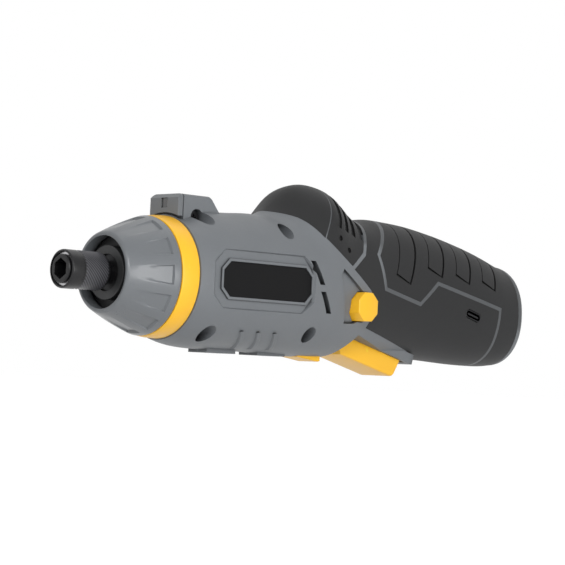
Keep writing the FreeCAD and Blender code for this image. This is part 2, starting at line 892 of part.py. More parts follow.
def inner_gear(start, end):
    """Ring with inside teeth."""
    pitch = float(ring_pitch)
    corners = gear_outline(ring_teeth, pitch + float(s.dedendum), pitch - float(s.addendum),
                           -float(s.flank_gap), math.pi / ring_teeth)
    ring = Part.makeCylinder(float(ring_outer), end - start, Vector(start, 0, 0), Vector(1, 0, 0))
    return ring.cut(gear_blank(corners, start - 1, end - start + 2))


def make_planets(prefix, start):
    teeth = int(float(s.planet_teeth))
    count = int(float(s.planet_count))
    planet = outer_gear(teeth, float(start), float(s.gear_width),
                        float(s.planet_pin_radius + s.run_gap), float(planet_circle), math.pi / teeth)
    for i in range(count):
        name = f"{prefix}_{i + 1}"
        node(name, solid(name, turned_copy(planet, i * 360 / count)))


def make_carrier(name, start, bore, *extra):
    """Plate with a pin for each planet, and whatever else is part of it."""
    count = int(float(s.planet_count))
    plate = tube(name + "_plate", start, start + s.carrier_width, bore, s.carrier_radius)
    pins = [rod(f"{name}_pin_{i}", start + s.carrier_width / 2,
                planet_circle * math.cos(2 * math.pi * i / count),
                planet_circle * math.sin(2 * math.pi * i / count), s.planet_pin_radius,
                s.carrier_width / 2 + s.plate_gap + s.gear_width) for i in range(count)]
    node(name, join(name, plate, *pins, *extra))


def make_gears():
    node("clutch_ring", solid("clutch_ring", inner_gear(float(clutch_ring_start - s.plate_gap / 4),
                                                         float(rear_carrier_start))))
    node("ring_gear", solid("ring_gear", inner_gear(float(rear_carrier_start + s.seat_gap),
                                                     float(motor_plate_start - s.seat_gap))))
    make_carrier("carrier_front", front_carrier_start, s.shaft_radius + s.seat_gap / 2)
    make_planets("planet_front", front_gear_start)
    hub = float(s.motor_shaft_radius)
    make_planets("planet_rear", rear_gear_start)
    sun = outer_gear(int(float(s.sun_teeth)), float(front_gear_start),
                     float(rear_carrier_start + s.carrier_width / 2 - front_gear_start), hub)
    make_carrier("carrier_rear", rear_carrier_start, size(hub), solid("sun_gear", sun))
    pinion = outer_gear(int(float(s.sun_teeth)), float(rear_gear_start),
                        float(motor_plate_start - rear_gear_start), hub + float(s.seat_gap) / 2)
    node("motor_pinion", solid("motor_pinion", pinion))


# Motor


def make_motor():
    boss_start = motor_start - s.motor_boss_length
    bore = s.motor_shaft_radius + s.run_gap
    can_inner = s.motor_radius - s.motor_wall
    node("motor_plate", tube("motor_plate", motor_plate_start, motor_start - s.seat_gap,
                             s.motor_boss_radius + s.seat_gap, s.case_radius))
    node("motor_can", turned("motor_can", [
        (boss_start, bore), (boss_start, s.motor_boss_radius), (motor_start, s.motor_boss_radius),
        (motor_start, s.motor_radius), (motor_end, s.motor_radius), (motor_end, can_inner),
        (motor_start + s.motor_wall, can_inner), (motor_start + s.motor_wall, bore),
    ]))
    node("motor_end_cap", turned("motor_end_cap", [
        (motor_end + s.seat_gap, bore), (motor_end + s.seat_gap, s.motor_radius),
        (end_cap_end, s.motor_radius - s.motor_wall), (end_cap_end, bore),
    ]))
    node("motor_shaft", rod("motor_shaft", rear_gear_start, 0, 0, s.motor_shaft_radius,
                            end_cap_end - rear_gear_start - s.seat_gap))
    stack_start = motor_start + (s.motor_length - s.armature_length) / 2 - s.commutator_length / 2
    stack_end = stack_start + s.armature_length
    stack = tube("armature_stack", stack_start, stack_end,
                 s.motor_shaft_radius + s.seat_gap / 2, s.armature_radius)
    count = int(float(s.armature_slots))
    slot = Part.makeBox(float(s.armature_length) + 2, float(s.armature_slot_width),
                        float(s.armature_slot_depth) + 1,
                        Vector(float(stack_start) - 1, -float(s.armature_slot_width) / 2,
                               float(s.armature_radius - s.armature_slot_depth)))
    slots = [solid(f"armature_slot_{i}", turned_copy(slot, i * 360 / count)) for i in range(count)]
    node("armature", cut("armature", stack, *slots))
    node("commutator", tube("commutator", stack_end + s.slide_gap, stack_end + s.commutator_length,
                            s.motor_shaft_radius + s.seat_gap / 2, s.commutator_radius))
    magnets = tube("magnet_tube", stack_start, stack_end,
                   can_inner - s.seat_gap - s.magnet_thickness, can_inner - s.seat_gap)
    gap = block("magnet_gap", (motor_start, motor_end), (-s.motor_radius, s.motor_radius),
                (-s.magnet_half_gap, s.magnet_half_gap))
    node("motor_magnets", cut("motor_magnets", magnets, gap))
    sides = (-1, 1)
    tabs = [block(f"terminal_{i}", (end_cap_end, end_cap_end + s.terminal_length),
                  (side * s.terminal_spread - s.lead_radius, side * s.terminal_spread + s.lead_radius),
                  (s.terminal_height - s.lead_radius / 3, s.terminal_height + s.lead_radius / 3))
            for i, side in enumerate(sides)]
    lead_start = end_cap_end + s.terminal_length / 2
    wires = [rod(f"wire_{i}", lead_start, side * s.terminal_spread, s.terminal_height, s.lead_radius,
                 s.switch_front - lead_start) for i, side in enumerate(sides)]
    leads = [join(f"lead_{i}", *pair) for i, pair in enumerate(zip(tabs, wires))]
    node("motor_leads", group("motor_leads", *leads))


# Housing forms


def directions():
    """Directions of a half section's corners, from straight up to straight down."""
    return [math.pi * i / HALF_CORNERS for i in range(HALF_CORNERS + 1)]


def half_ring(x, mid, reaches, side):
    """Half of a smooth section square to the spindle, closed along the middle of the housing."""
    corners = list(zip(directions(), reaches))
    places = [Vector(x, -reach * math.sin(angle), mid + reach * math.cos(angle))
              for angle, reach in corners]
    places += [Vector(x, -place.y, place.z) for place in places[-2:0:-1]]
    curve = Part.BSplineCurve()
    steps = [float(i) for i in range(len(places) + 1)]
    curve.interpolate(Points=places, PeriodicFlag=True, Parameters=steps)
    if side == "left":
        curve.segment(0.0, float(HALF_CORNERS))
    else:
        curve.segment(float(HALF_CORNERS), 2.0 * HALF_CORNERS)
    closing = Part.LineSegment(curve.EndPoint, curve.StartPoint)
    return Part.Wire([curve.toShape(), closing.toShape()])


def rounded(angle, tall, wide, power):
    """Reach of a squared ellipse in one direction from its middle."""
    up = abs(math.cos(angle) / tall) ** power
    across = abs(math.sin(angle) / wide) ** power
    return (up + across) ** (-1 / power)


def hump_reach(angle, x, mid, inset):
    """Reach of the hump from the housing's middle, nothing where a direction misses it."""
    share = 1 - ((x - float(s.hump_at)) / (float(s.hump_long) - inset)) ** 2
    if share <= 0:
        return 0.0
    tall = (float(s.hump_tall) - inset) * math.sqrt(share)
    wide = (float(s.hump_wide) - inset) * math.sqrt(share)
    drop = mid - float(s.hump_height)
    square = (math.cos(angle) / tall) ** 2 + (math.sin(angle) / wide) ** 2
    linear = math.cos(angle) * drop / tall ** 2
    root = linear ** 2 - square * ((drop / tall) ** 2 - 1)
    return 0.0 if root < 0 else max(0.0, (math.sqrt(root) - linear) / square)


def girth(x):
    """Middle, half height and half width of the housing at a place along the spindle."""
    places = [float(station_at(name)) for name in STATIONS]
    rows = [[float(getattr(s, f"{name}_{part}")) for part in ("mid", "tall", "wide")]
            for name in STATIONS]
    last = len(places) - 1
    slopes = []
    for i in range(last + 1):
        low, high = max(i - 1, 0), min(i + 1, last)
        slopes.append([(b - a) / (places[high] - places[low]) for a, b in zip(rows[low], rows[high])])
    i = max(0, min(last - 1, sum(place <= x for place in places) - 1))
    span = places[i + 1] - places[i]
    t = (x - places[i]) / span
    return [a * (1 + 2 * t) * (1 - t) ** 2 + b * t * t * (3 - 2 * t)
            + span * (p * t * (1 - t) ** 2 - q * t * t * (1 - t))
            for a, b, p, q in zip(rows[i], rows[i + 1], slopes[i], slopes[i + 1])]


def ramp(x, start, end):
    return max(0.0, min(1.0, (x - float(start)) / (float(end) - float(start))))


def form(name, side, inset, skin=0.0, overrun=0.0):
    """Half of the housing's smooth form with its hump, drawn in by an inset and a handle skin."""
    sharp = float(s.hump_blend)
    start = float(nose_at) - overrun
    step = (float(tail_at) + overrun - start) / SECTIONS
    sections = []
    for x in (start + step * i for i in range(SECTIONS + 1)):
        mid, tall, wide = girth(x)
        depth = inset + skin * ramp(x, station_at("waist"), station_at("neck"))
        power = 2 + (float(s.squareness) - 2) * ramp(x, nose_at, station_at("barrel"))
        reaches = []
        for angle in directions():
            body = rounded(angle, tall - depth, wide - depth, power)
            raised = hump_reach(angle, x, mid, inset + skin)
            reaches.append((body ** sharp + raised ** sharp) ** (1 / sharp))
        sections.append(half_ring(x, mid, reaches, side))
    return solid(f"{name}_{side}", Part.makeLoft(sections, True, False))


def lamp_box():
    """Lamp box over the nose: a bar with rounded long top edges, sloped off at both ends."""
    front = float(s.lamp_front)
    top = float(s.lamp_top)
    brow = float(s.lamp_brow)
    foot = float(s.lamp_foot)
    rear = front + float(s.lamp_length)
    half = float(s.lamp_half_width)
    curve = float(s.lamp_round)
    low = curve * (1 - math.sqrt(0.5))
    near = [Vector(front, -half, foot), Vector(front, -half, top - curve),
            Vector(front, low - half, top - low), Vector(front, curve - half, top)]
    far = [Vector(place.x, -place.y, place.z) for place in reversed(near)]
    edges = [Part.LineSegment(near[0], near[1]), Part.Arc(*near[1:]), Part.LineSegment(near[3], far[0]),
             Part.Arc(*far[:3]), Part.LineSegment(far[2], far[3]), Part.LineSegment(far[3], near[0])]
    section = Part.Face(Part.Wire([edge.toShape() for edge in edges]))
    bar = section.extrude(Vector(rear - front, 0, 0))
    corners = [(front, foot), (front, top - brow), (front + brow, top), (float(s.lamp_flat_end), top),
               (rear, foot + brow * 2), (rear, foot)]
    places = [Vector(x, -half - 1, z) for x, z in corners]
    outline = Part.Face(Part.makePolygon(places + places[:1])).extrude(Vector(0, half * 2 + 2, 0))
    return solid("lamp_box", bar.common(outline))


def octagon(front, rear, low, high, corner):
    return [(front + corner, low), (rear - corner, low), (rear, low + corner), (rear, high - corner),
            (rear - corner, high), (front + corner, high), (front, high - corner), (front, low + corner)]


def label_outline(margin, margin_high, trim=0.0):
    mid = float(s.label_mid)
    half = float(s.label_half_height) + margin_high
    rear = float(s.label_rear) + margin - trim
    return octagon(float(s.label_front) - margin, rear, mid - half, mid + half,
                   float(s.label_corner) + margin / 3)


def label_recess():
    """Flat-bottomed recess with sloping sides, open to -Y."""
    floor = -float(s.label_floor)
    margin = float(s.panel_margin)
    margin_high = float(s.panel_margin_high)
    slope = float(s.wall)
    sections = []
    for depth, grow in ((floor, 0.0), (floor - slope * 2, slope * 2)):
        corners = label_outline(margin + grow, margin_high + grow * 0.6, float(s.panel_trim) + grow / 2)
        places = [Vector(x, depth, z) for x, z in corners]
        sections.append(Part.makePolygon(places + places[:1]))
    return cut("label_recess", solid("recess_blank", Part.makeLoft(sections, True, True)), label_ridge())


def label_ridge():
    floor = -float(s.label_floor)
    ridge = float(s.label_ridge)
    outer = side_prism("ridge_outer", label_outline(ridge, ridge),
                       floor - float(s.label_ridge_height), floor + float(s.wall) / 2)
    inner = side_prism("ridge_inner", label_outline(0.1, 0.1), floor - float(s.wall), floor)
    return cut("label_ridge", outer, inner)


def make_label():
    floor = -float(s.label_floor)
    node("label_plate", side_prism("label_plate", label_outline(0, 0),
                                   floor - float(s.label_thickness), floor))


def vents(side):
    """Slanting vent slots through one flank."""
    tools = []
    for prefix in ("vent_front", "vent_rear"):
        front = float(getattr(s, prefix + "_at"))
        top = float(getattr(s, prefix + "_top"))
        low = float(getattr(s, prefix + "_low"))
        lean = float(s.vent_lean)
        width = float(s.vent_width)
        corners = [(front, top), (front + width, top), (front + width + lean, low), (front + lean, low)]
        ends = sorted((SIDES[side] * float(s.motor_radius), SIDES[side] * FAR))
        tools.append(side_prism(f"{prefix}_{side}", corners, *ends))
    return tools


# Each screw's place and how far its seat lies to the left of the joint


def screw_places():
    return {
        "front": (s.screw_front_at, s.screw_front_z, s.screw_seat),
        "top": (s.screw_top_at, s.screw_top_z, s.screw_seat),
        "low": (s.screw_low_at, s.screw_low_z, s.screw_seat),
        "lamp": (s.screw_lamp_at, s.screw_lamp_z, s.screw_lamp_seat),
    }


def screw_wells():
    """Wells for the heads on the left, and pilot holes through both halves."""
    tools = []
    for name, (x, z, seat) in screw_places().items():
        tools.append(rod(f"well_{name}", x, -FAR, z, s.well_radius, FAR - seat, "y"))
        tools.append(rod(f"pilot_{name}", x, -seat - 1, z, s.screw_radius + s.seat_gap,
                         s.screw_length + 1 + s.seat_gap, "y"))
    return tools


def make_screws():
    screws = []
    for name, (x, z, seat) in screw_places().items():
        shank = rod(f"shank_{name}", x, -seat - s.screw_head_height / 2, z, s.screw_radius,
                    s.screw_length + s.screw_head_height / 2, "y")
        head = rod(f"head_{name}", x, -seat - s.screw_head_height, z, s.screw_head_radius,
                   s.screw_head_height, "y")
        slots = [block(f"{name}_slot_{i}",
                       (x - long, x + long),
                       (-seat - s.screw_head_height - 1, -seat - s.screw_head_height / 2),
                       (z - tall, z + tall))
                 for i, (long, tall) in enumerate(((s.screw_radius, s.seat_gap * 6),
                                                   (s.seat_gap * 6, s.screw_radius)))]
        screws.append(cut(f"screw_{name}", join(f"blank_{name}", shank, head), *slots))
    node("housing_screws", group("housing_screws", *screws))


def finger_ribs():
    """Slanted ribs across the lower flanks of the body."""
    ribs = []
    for i in range(int(float(s.rib_count))):
        front = float(s.rib_front + s.rib_pitch * i)
        width = float(s.rib_width)
        lean = float(s.rib_lean)
        low, high = float(s.rib_low), float(s.rib_high)
        ribs.append(side_prism(f"finger_rib_{i}", [(front, high), (front + width, high),
                                                   (front + width + lean, low), (front + lean, low)]))
    return ribs


def rest_pads():
    """Two pads under the body that it lies on."""
    half = s.pad_length / 2
    low = s.flank_mid - s.flank_tall - s.pad_proud
    return [block(f"rest_pad_{name}", (middle - half, middle + half),
                  (-s.pad_half_width, s.pad_half_width), (low, low + s.wall + s.pad_proud))
            for name, middle in (("front", s.pad_front_at), ("rear", s.pad_rear_at))]


# Trigger frame, in a slanted frame with u along the trigger and n into the handle

SLOPE = math.radians(float(s.frame_slope))


def slanted(u, n):
    """Side-view place of a point given along and square to the trigger frame."""
    return (float(s.frame_mid_x) + u * math.cos(SLOPE) + n * math.sin(SLOPE),
            float(s.frame_mid_z) - u * math.sin(SLOPE) + n * math.cos(SLOPE))


def trigger_notch():
    """Cut-out of the handle that the trigger hangs in."""
    front = -float(s.frame_front)
    rear = float(s.frame_rear)
    drop = float(s.frame_drop)
    return side_prism("trigger_notch", [slanted(u, n) for u, n in (
        (front - float(s.frame_front_lean), -drop), (front, 0), (rear, 0), (rear, -drop))])


def trigger_bar():
    """Bar along the trigger's frame, squared off where it stands out of the handle."""
    front, rear = float(s.bar_front), float(s.bar_rear)
    high, half = float(s.bar_high), float(s.bar_half_width)
    corners = [slanted(u, n) for u, n in ((front, 0), (rear, 0), (rear, high), (front, high))]
    return side_prism("trigger_bar", corners, -half, half)


def trigger_slot():
    gap = float(s.slide_gap)
    half = float(s.trigger_half_width) + gap
    front, rear = -float(s.trigger_front) - gap, float(s.trigger_rear + s.trigger_rear_lean) + gap
    deep = float(s.wall) * 2
    corners = [slanted(front, -deep), slanted(rear, -deep), slanted(rear, deep), slanted(front, deep)]
    return side_prism("trigger_slot", corners, -half, half)


def make_trigger():
    half = float(s.trigger_half_width)
    front, rear = -float(s.trigger_front), float(s.trigger_rear)
    depth = float(s.trigger_depth)
    nip = float(s.trigger_nip)
    wall = float(s.wall)
    lip = float(s.trigger_lip)
    lip_low = wall + float(s.slide_gap)
    lip_high = lip_low + lip
    lean = float(s.trigger_rear_lean)
    paddle = side_prism("trigger_paddle", [slanted(u, n) for u, n in (
        (front, 0.0), (front, nip - depth), (front + nip, -depth), (rear - nip - lean, -depth),
        (rear - lean, nip - depth), (rear + lean / 2, lip_high), (front + lip * 2, lip_high))],
        -half, half)
    flange = side_prism("trigger_flange", [slanted(u, n) for u, n in (
        (front + lip * 2, lip_low), (float(s.catch_rear), lip_low),
        (float(s.catch_rear), lip_high), (front + lip * 2, lip_high))],
        -half - float(s.trigger_catch), half + float(s.trigger_catch))
    foot_x, foot_z = slanted(float(s.plunger_at), lip_high - lip / 2)
    inward = Vector(math.sin(SLOPE), 0, math.cos(SLOPE))
    plunger = solid("trigger_plunger", Part.makeCylinder(
        float(s.plunger_radius), float(s.plunger_length) + lip / 2, Vector(foot_x, 0, foot_z), inward))
    node("trigger", join("trigger", paddle, flange, plunger))
    spring_room = (float(s.switch_low) - foot_z - lip) / math.cos(SLOPE)
    spring_length = spring_room - float(s.trigger_mean_radius) / 2
    spring = coil(0.0, spring_length, float(s.trigger_mean_radius),
                  float(s.trigger_wire), float(s.trigger_turns))
    spring.rotate(Vector(), Vector(0, 1, 0), float(s.frame_slope))
    spring_x, spring_z = slanted(float(s.plunger_at), lip_high + float(s.seat_gap))
    spring.translate(Vector(spring_x, 0, spring_z))
    node("trigger_spring", solid("trigger_spring", spring))


# Direction and lamp buttons


def button_outline(grow=0.0):
    long = float(s.button_long) / 2 + grow
    tall = float(s.button_tall) / 2 + grow
    x, z = float(s.button_mid_x), float(s.button_mid_z)
    return octagon(x - long, x + long, z - tall, z + tall, float(s.button_corner) + grow / 2)


def make_direction_button():
    flush = float(s.neck_wide) - float(s.wall) / 4
    cap = float(s.button_cap)
    left = side_prism("button_left_cap", button_outline(), -flush - float(s.button_proud), cap - flush)
    right = side_prism("button_right_cap", button_outline(), flush - cap, flush)
    bar = block("button_bar",
                (s.button_mid_x - s.button_bar_long / 2, s.button_mid_x + s.button_bar_long / 2),
                (cap - flush - 1, flush - cap + 1),
                (s.button_mid_z - s.button_bar_tall / 2 + 1, s.button_mid_z + s.button_bar_tall / 2 + 1))
    node("direction_button", join("direction_button", left, right, bar))


def button_hole():
    return side_prism("button_hole", button_outline(float(s.slide_gap)))


def button_scoop(side):
    """Leaf-shaped scoop beside the direction button, on one flank."""
    tip = spot("scoop_tip")
    low = spot("scoop_low")
    x, z = float(s.button_mid_x), float(s.button_mid_z)
    long = float(s.button_long) / 2
    tall = float(s.button_tall) / 2
    corners = [tip, (tip[0] - long / 3, tip[1] - tall / 2), low, (x - long / 2, z - tall - 1),
               (x, z - tall), (x, z + tall)]
    ends = sorted((0.0, SIDES[side] * FAR))
    return cut(f"button_scoop_{side}", side_prism(f"scoop_blank_{side}", corners, *ends),
               form("shallow_form", side, float(s.scoop_depth)))


def make_lamp_button():
    start = float(s.lamp_button_at)
    end = start + float(s.lamp_button_length)
    half = float(s.lamp_button_half_width)
    floor = float(s.neck_mid) - float(s.neck_tall)
    inside = float(s.lamp_button_inside)
    lip = float(s.lamp_button_lip)
    lip_width = float(s.lamp_button_lip_width)
    key = side_prism("lamp_button_key", [
        (start, floor), (end - lip_width, floor - float(s.lamp_button_proud)), (end, floor - lip_width),
        (end, inside + lip), (start, inside + lip)], -half, half)
    flange = block("lamp_button_flange", (start - lip_width, end + lip_width / 2),
                   (-half - lip_width / 2, half + lip_width / 2), (inside, inside + lip))
    node("lamp_button", join("lamp_button", key, flange))
    switch_low = s.shelf_low - s.lamp_switch_depth
    node("lamp_switch", block("lamp_switch", (s.lamp_button_at, s.lamp_button_at + s.lamp_button_length),
                              (-s.lamp_button_half_width, s.lamp_button_half_width),
                              (switch_low, s.shelf_low)))
    spring_start = inside + lip + float(s.seat_gap)
    spring = coil(spring_start, float(switch_low - s.seat_gap) - spring_start,
                  float(s.lamp_mean_radius), float(s.lamp_wire), float(s.lamp_turns))
    spring.translate(Vector((start + end) / 2, 0, 0))
    node("lamp_button_spring", solid("lamp_button_spring", spring))


def lamp_button_hole():
    gap = s.slide_gap
    return block("lamp_button_hole",
                 (s.lamp_button_at - gap, s.lamp_button_at + s.lamp_button_length + gap),
                 (-s.lamp_button_half_width - gap, s.lamp_button_half_width + gap),
                 (-FAR, s.lamp_button_inside - gap))


# Chambers inside the housing; the ribs between them carry the gear case, motor, cell and boards


def body_chambers():
    """Rooms round the gear case and motor, with ribs left between them."""
    ribs = (s.gear_rib_at, s.gear_rib_rear_at, s.motor_rib_at, s.motor_rib_rear_at)
    ends = (*ribs[1:], end_cap_end + s.slide_gap)
    rooms = [rod(f"body_chamber_{i}", rib + s.rib_wall, 0, 0, s.chamber_radius, end - rib - s.rib_wall)
             for i, (rib, end) in enumerate(zip(ribs, ends))]
    bosses = [rod(f"boss_{name}", x, -FAR, z, s.boss_radius, 2 * FAR, "y")
              for name, (x, z, seat) in screw_places().items()]
    gear_space = rod("gear_space", nose_at - 1, 0, 0, s.case_radius + s.seat_gap, motor_start - nose_at + 1)
    motor_space = rod("motor_space", motor_start - 1, 0, 0, s.motor_radius + s.seat_gap,
                      end_cap_end - motor_start + 1 + s.seat_gap)
    return [cut("body_rooms", join("body_chambers", *rooms), *bosses), gear_space, motor_space]


def control_chambers():
    """Rooms for the lamp switch, wires, switch and plunger."""
    half = s.neck_half_width
    shelf_high = s.shelf_low + s.shelf_width
    lip = s.lamp_button_lip_width + s.slide_gap
    lamp_room = block("lamp_room", (s.lamp_button_at - lip, s.lamp_button_at + s.lamp_button_length + lip),
                      (-s.lamp_button_half_width - lip, s.lamp_button_half_width + lip),
                      (s.lamp_button_inside - s.slide_gap, s.shelf_low))
    wire_room = block("wire_room", (end_cap_end, s.switch_front), (-half, half), (shelf_high, s.neck_high))
    width = s.switch_half_width + s.seat_gap
    switch_room = block("switch_room", (s.switch_front - 1, bulkhead_start), (-width, width),
                        (s.switch_low, s.switch_high + s.seat_gap))
    plunger_half = s.trigger_mean_radius + s.trigger_wire + s.slide_gap
    plunger_room = block("plunger_room", (s.switch_front, bulkhead_start), (-plunger_half, plunger_half),
                         (s.frame_mid_z + s.wall, s.switch_low + 1))
    return [lamp_room, wire_room, switch_room, plunger_room]


def trigger_rooms():
    """Rooms for the trigger's paddle and for its catch, up to the end of its travel."""
    gap = float(s.slide_gap)
    low = float(s.wall)
    high = float(s.wall + s.slide_gap * 2 + s.trigger_lip + s.trigger_travel)
    front = -float(s.trigger_front) - gap
    rooms = []
    for name, rear, half in (("paddle", s.trigger_rear + s.trigger_rear_lean, s.trigger_half_width),
                             ("catch", s.catch_rear, s.trigger_half_width + s.trigger_catch)):
        end, reach = float(rear) + gap, float(half) + gap
        corners = [slanted(u, n) for u, n in ((front, low), (end, low), (end, high), (front, high))]
        rooms.append(side_prism(f"{name}_room", corners, -reach, reach))
    return rooms


def cell_chambers():
    """Rooms for the cell, its contacts and the control board."""
    rib = s.rib_wall
    spans = ((contact_start, s.cell_rib_front), (s.cell_rib_front + rib, s.cell_rib_rear),
             (s.cell_rib_rear + rib, tail_at + 1))
    rooms = [rod(f"cell_chamber_{i}", start, 0, s.cell_mid, s.cell_chamber_radius, end - start)
             for i, (start, end) in enumerate(spans)]
    rooms.append(rod("cell_bore", contact_start, 0, s.cell_mid, s.cell_radius + s.seat_gap,
                     s.cell_rib_rear + rib - contact_start))
    half = s.board_half_width + s.seat_gap
    rooms.append(block("board_room", (s.cell_rib_front + rib, s.cell_rib_rear), (-half, half),
                       (s.board_low, s.cell_mid)))
    return rooms


# Overmoulds


def line_one():
    rise = (float(s.thumb_top_x) - float(s.thumb_mid_x)) / (float(s.thumb_top_z) - float(s.thumb_mid_z))
    top = (float(s.thumb_top_x) + rise * FAR / 2, float(s.thumb_top_z) + FAR / 2)
    return [spot("thumb_low"), spot("thumb_bend"), spot("thumb_mid"), spot("thumb_top"), top]


def line_two():
    rise = ((float(s.inlay_top_x) - float(s.inlay_bend_x))
            / (float(s.inlay_top_z) - float(s.inlay_bend_z)))
    top = (float(s.inlay_top_x) + rise * FAR / 4, float(s.inlay_top_z) + FAR / 4)
    foot = (float(s.inlay_low_x), -FAR)
    return [top, spot("inlay_top"), spot("inlay_bend"), spot("inlay_knee"), spot("inlay_dip"),
            spot("inlay_peak"), spot("inlay_tail"), spot("inlay_low"), foot]


def hump_rear_line(shift):
    low = spot("hump_edge_low")
    high = spot("hump_rear")
    rise = (high[0] - low[0]) / (high[1] - low[1])
    top = (high[0] + rise * FAR / 2, high[1] + FAR / 2)
    return [(x + shift, z) for x, z in (low, high, top)]


def skin_outlines():
    """Side-view outline of each overmould."""
    half = float(s.inlay) / 2
    seam = float(s.seam)
    front = hump_rear_line(0)
    top = front[-1][1]
    pad = [(float(s.hump_at) - FAR / 2, top), spot("hump_edge_front"), spot("hump_edge_mid"), *front]
    one_front = spread(line_one(), half)
    one_rear = spread(line_one(), -half)
    two_front = spread(line_two(), -half)
    two_rear = spread(line_two(), half)
    thumb = hump_rear_line(seam)[::-1] + one_front
    panel = [*one_rear[::-1], spot("panel_edge"), (float(s.panel_button_x), float(s.panel_button_top)),
             (float(s.panel_button_x), float(s.panel_button_low)), spot("panel_foot"), spot("panel_frame"),
             (float(s.panel_frame_x), -FAR), *two_front[::-1]]
    end = float(tail_at) + 1
    rear = [*two_rear, (end, -FAR), (end, two_rear[0][1])]
    return {"bump_pad": pad, "thumb_grip": thumb, "side_panel": panel, "rear_grip": rear}


def grip_bands(side):
    """Grooves round the raked bands of the rear grip, the first band longer than the rest."""
    rake = math.tan(math.radians(float(s.band_rake)))
    ends = sorted((0.0, SIDES[side] * FAR))
    bands = []
    for i in range(int(float(s.band_count))):
        step = float(s.band_drop) / 2
        low = float(s.band_short_low) - step * (i - 1) if i else float(s.band_low)
        width = float(s.band_width)
        foot = float(s.band_front) + float(s.band_pitch) * i + rake * (low - float(s.hump_height))
        outlines = []
        for inset in (0.0, float(s.band_groove)):
            left, right = foot + inset, foot + width - inset
            high_foot, low_foot = low + step + inset, low - step + inset
            corners = [(left, high_foot), (right, low_foot),
                       (right + rake * FAR, low_foot + FAR), (left + rake * FAR, high_foot + FAR)]
            outlines.append(side_prism(f"grip_band_{i}_{side}_{len(outlines)}", corners, *ends))
        bands.append(cut(f"grip_band_{i}_{side}", *outlines))
    return bands


def thumb_marks(side):
    """Short raked slots and two dimples of the thumb grip."""
    rake = math.tan(math.radians(float(s.band_rake)))
    ends = sorted((0.0, SIDES[side] * FAR))
    marks = []
    for i in range(int(float(s.thumb_slot_count))):
        low = float(s.thumb_slot_low) - float(s.thumb_slot_drop) * i / 2
        foot = float(s.thumb_slot_front) + float(s.thumb_slot_pitch) * i
        width = float(s.thumb_slot_width)
        corners = [(foot, low), (foot + width, low - width / 2),
                   (foot + width + rake * FAR, low - width / 2 + FAR), (foot + rake * FAR, low + FAR)]
        marks.append(side_prism(f"thumb_slot_{i}_{side}", corners, *ends))
    for prefix in ("dimple_front", "dimple_rear"):
        x, z = spot(prefix)
        marks.append(rod(f"{prefix}_{side}", x, ends[0], z, s.dimple_radius, FAR, "y"))
    return marks


def usb_outline(long, tall):
    """Oblong with cut corners round the charging socket's middle, leaning with the trigger frame."""
    x, z = spot("usb_mid")
    slope_x, slope_z = math.cos(SLOPE), -math.sin(SLOPE)
    corners = octagon(-long, long, -tall, tall, tall * float(s.usb_corner_share))
    return [(x + u * slope_x - n * slope_z, z + u * slope_z + n * slope_x) for u, n in corners]


def usb_slot(name, grow):
    long = float(s.usb_long / 2 + grow)
    tall = float(s.usb_tall / 2 + grow)
    return side_prism(name, usb_outline(long, tall), -FAR, -s.cell_radius)


def one_side(name, side, piece):
    """The part of a piece that lies on one side of the housing's middle."""
    ends = sorted((0.0, SIDES[side] * FAR))
    space = block(f"{name}_{side}_space", (0, tail_at + FAR), ends, (-FAR, FAR))
    return shared(f"{name}_{side}", piece, space)


def make_skins(side, outer, openings):
    """Overmoulds of one side, laid into the surface of the housing; gives back their blanks."""
    shell = cut(f"skin_shell_{side}", outer, form("skin_core", side, float(s.skin), 0.0, 1.0))
    skins = {}
    for name, corners in skin_outlines().items():
        outline = side_prism(f"{name}_outline_{side}", corners)
        skins[name] = shared(f"{name}_blank_{side}", shell, outline)
    carved = form("carved_form", side, float(s.band_depth))
    tools = {
        "thumb_grip": cut(f"thumb_cuts_{side}", join(f"thumb_marks_{side}", *thumb_marks(side)), carved),
        "side_panel": openings,
        "rear_grip": cut(f"band_cuts_{side}", join(f"grip_bands_{side}", *grip_bands(side)), carved),
    }
    for name, tool in tools.items():
        label = f"{name}_{side}"
        node(label, cut(label, skins[name], tool))
    return skins


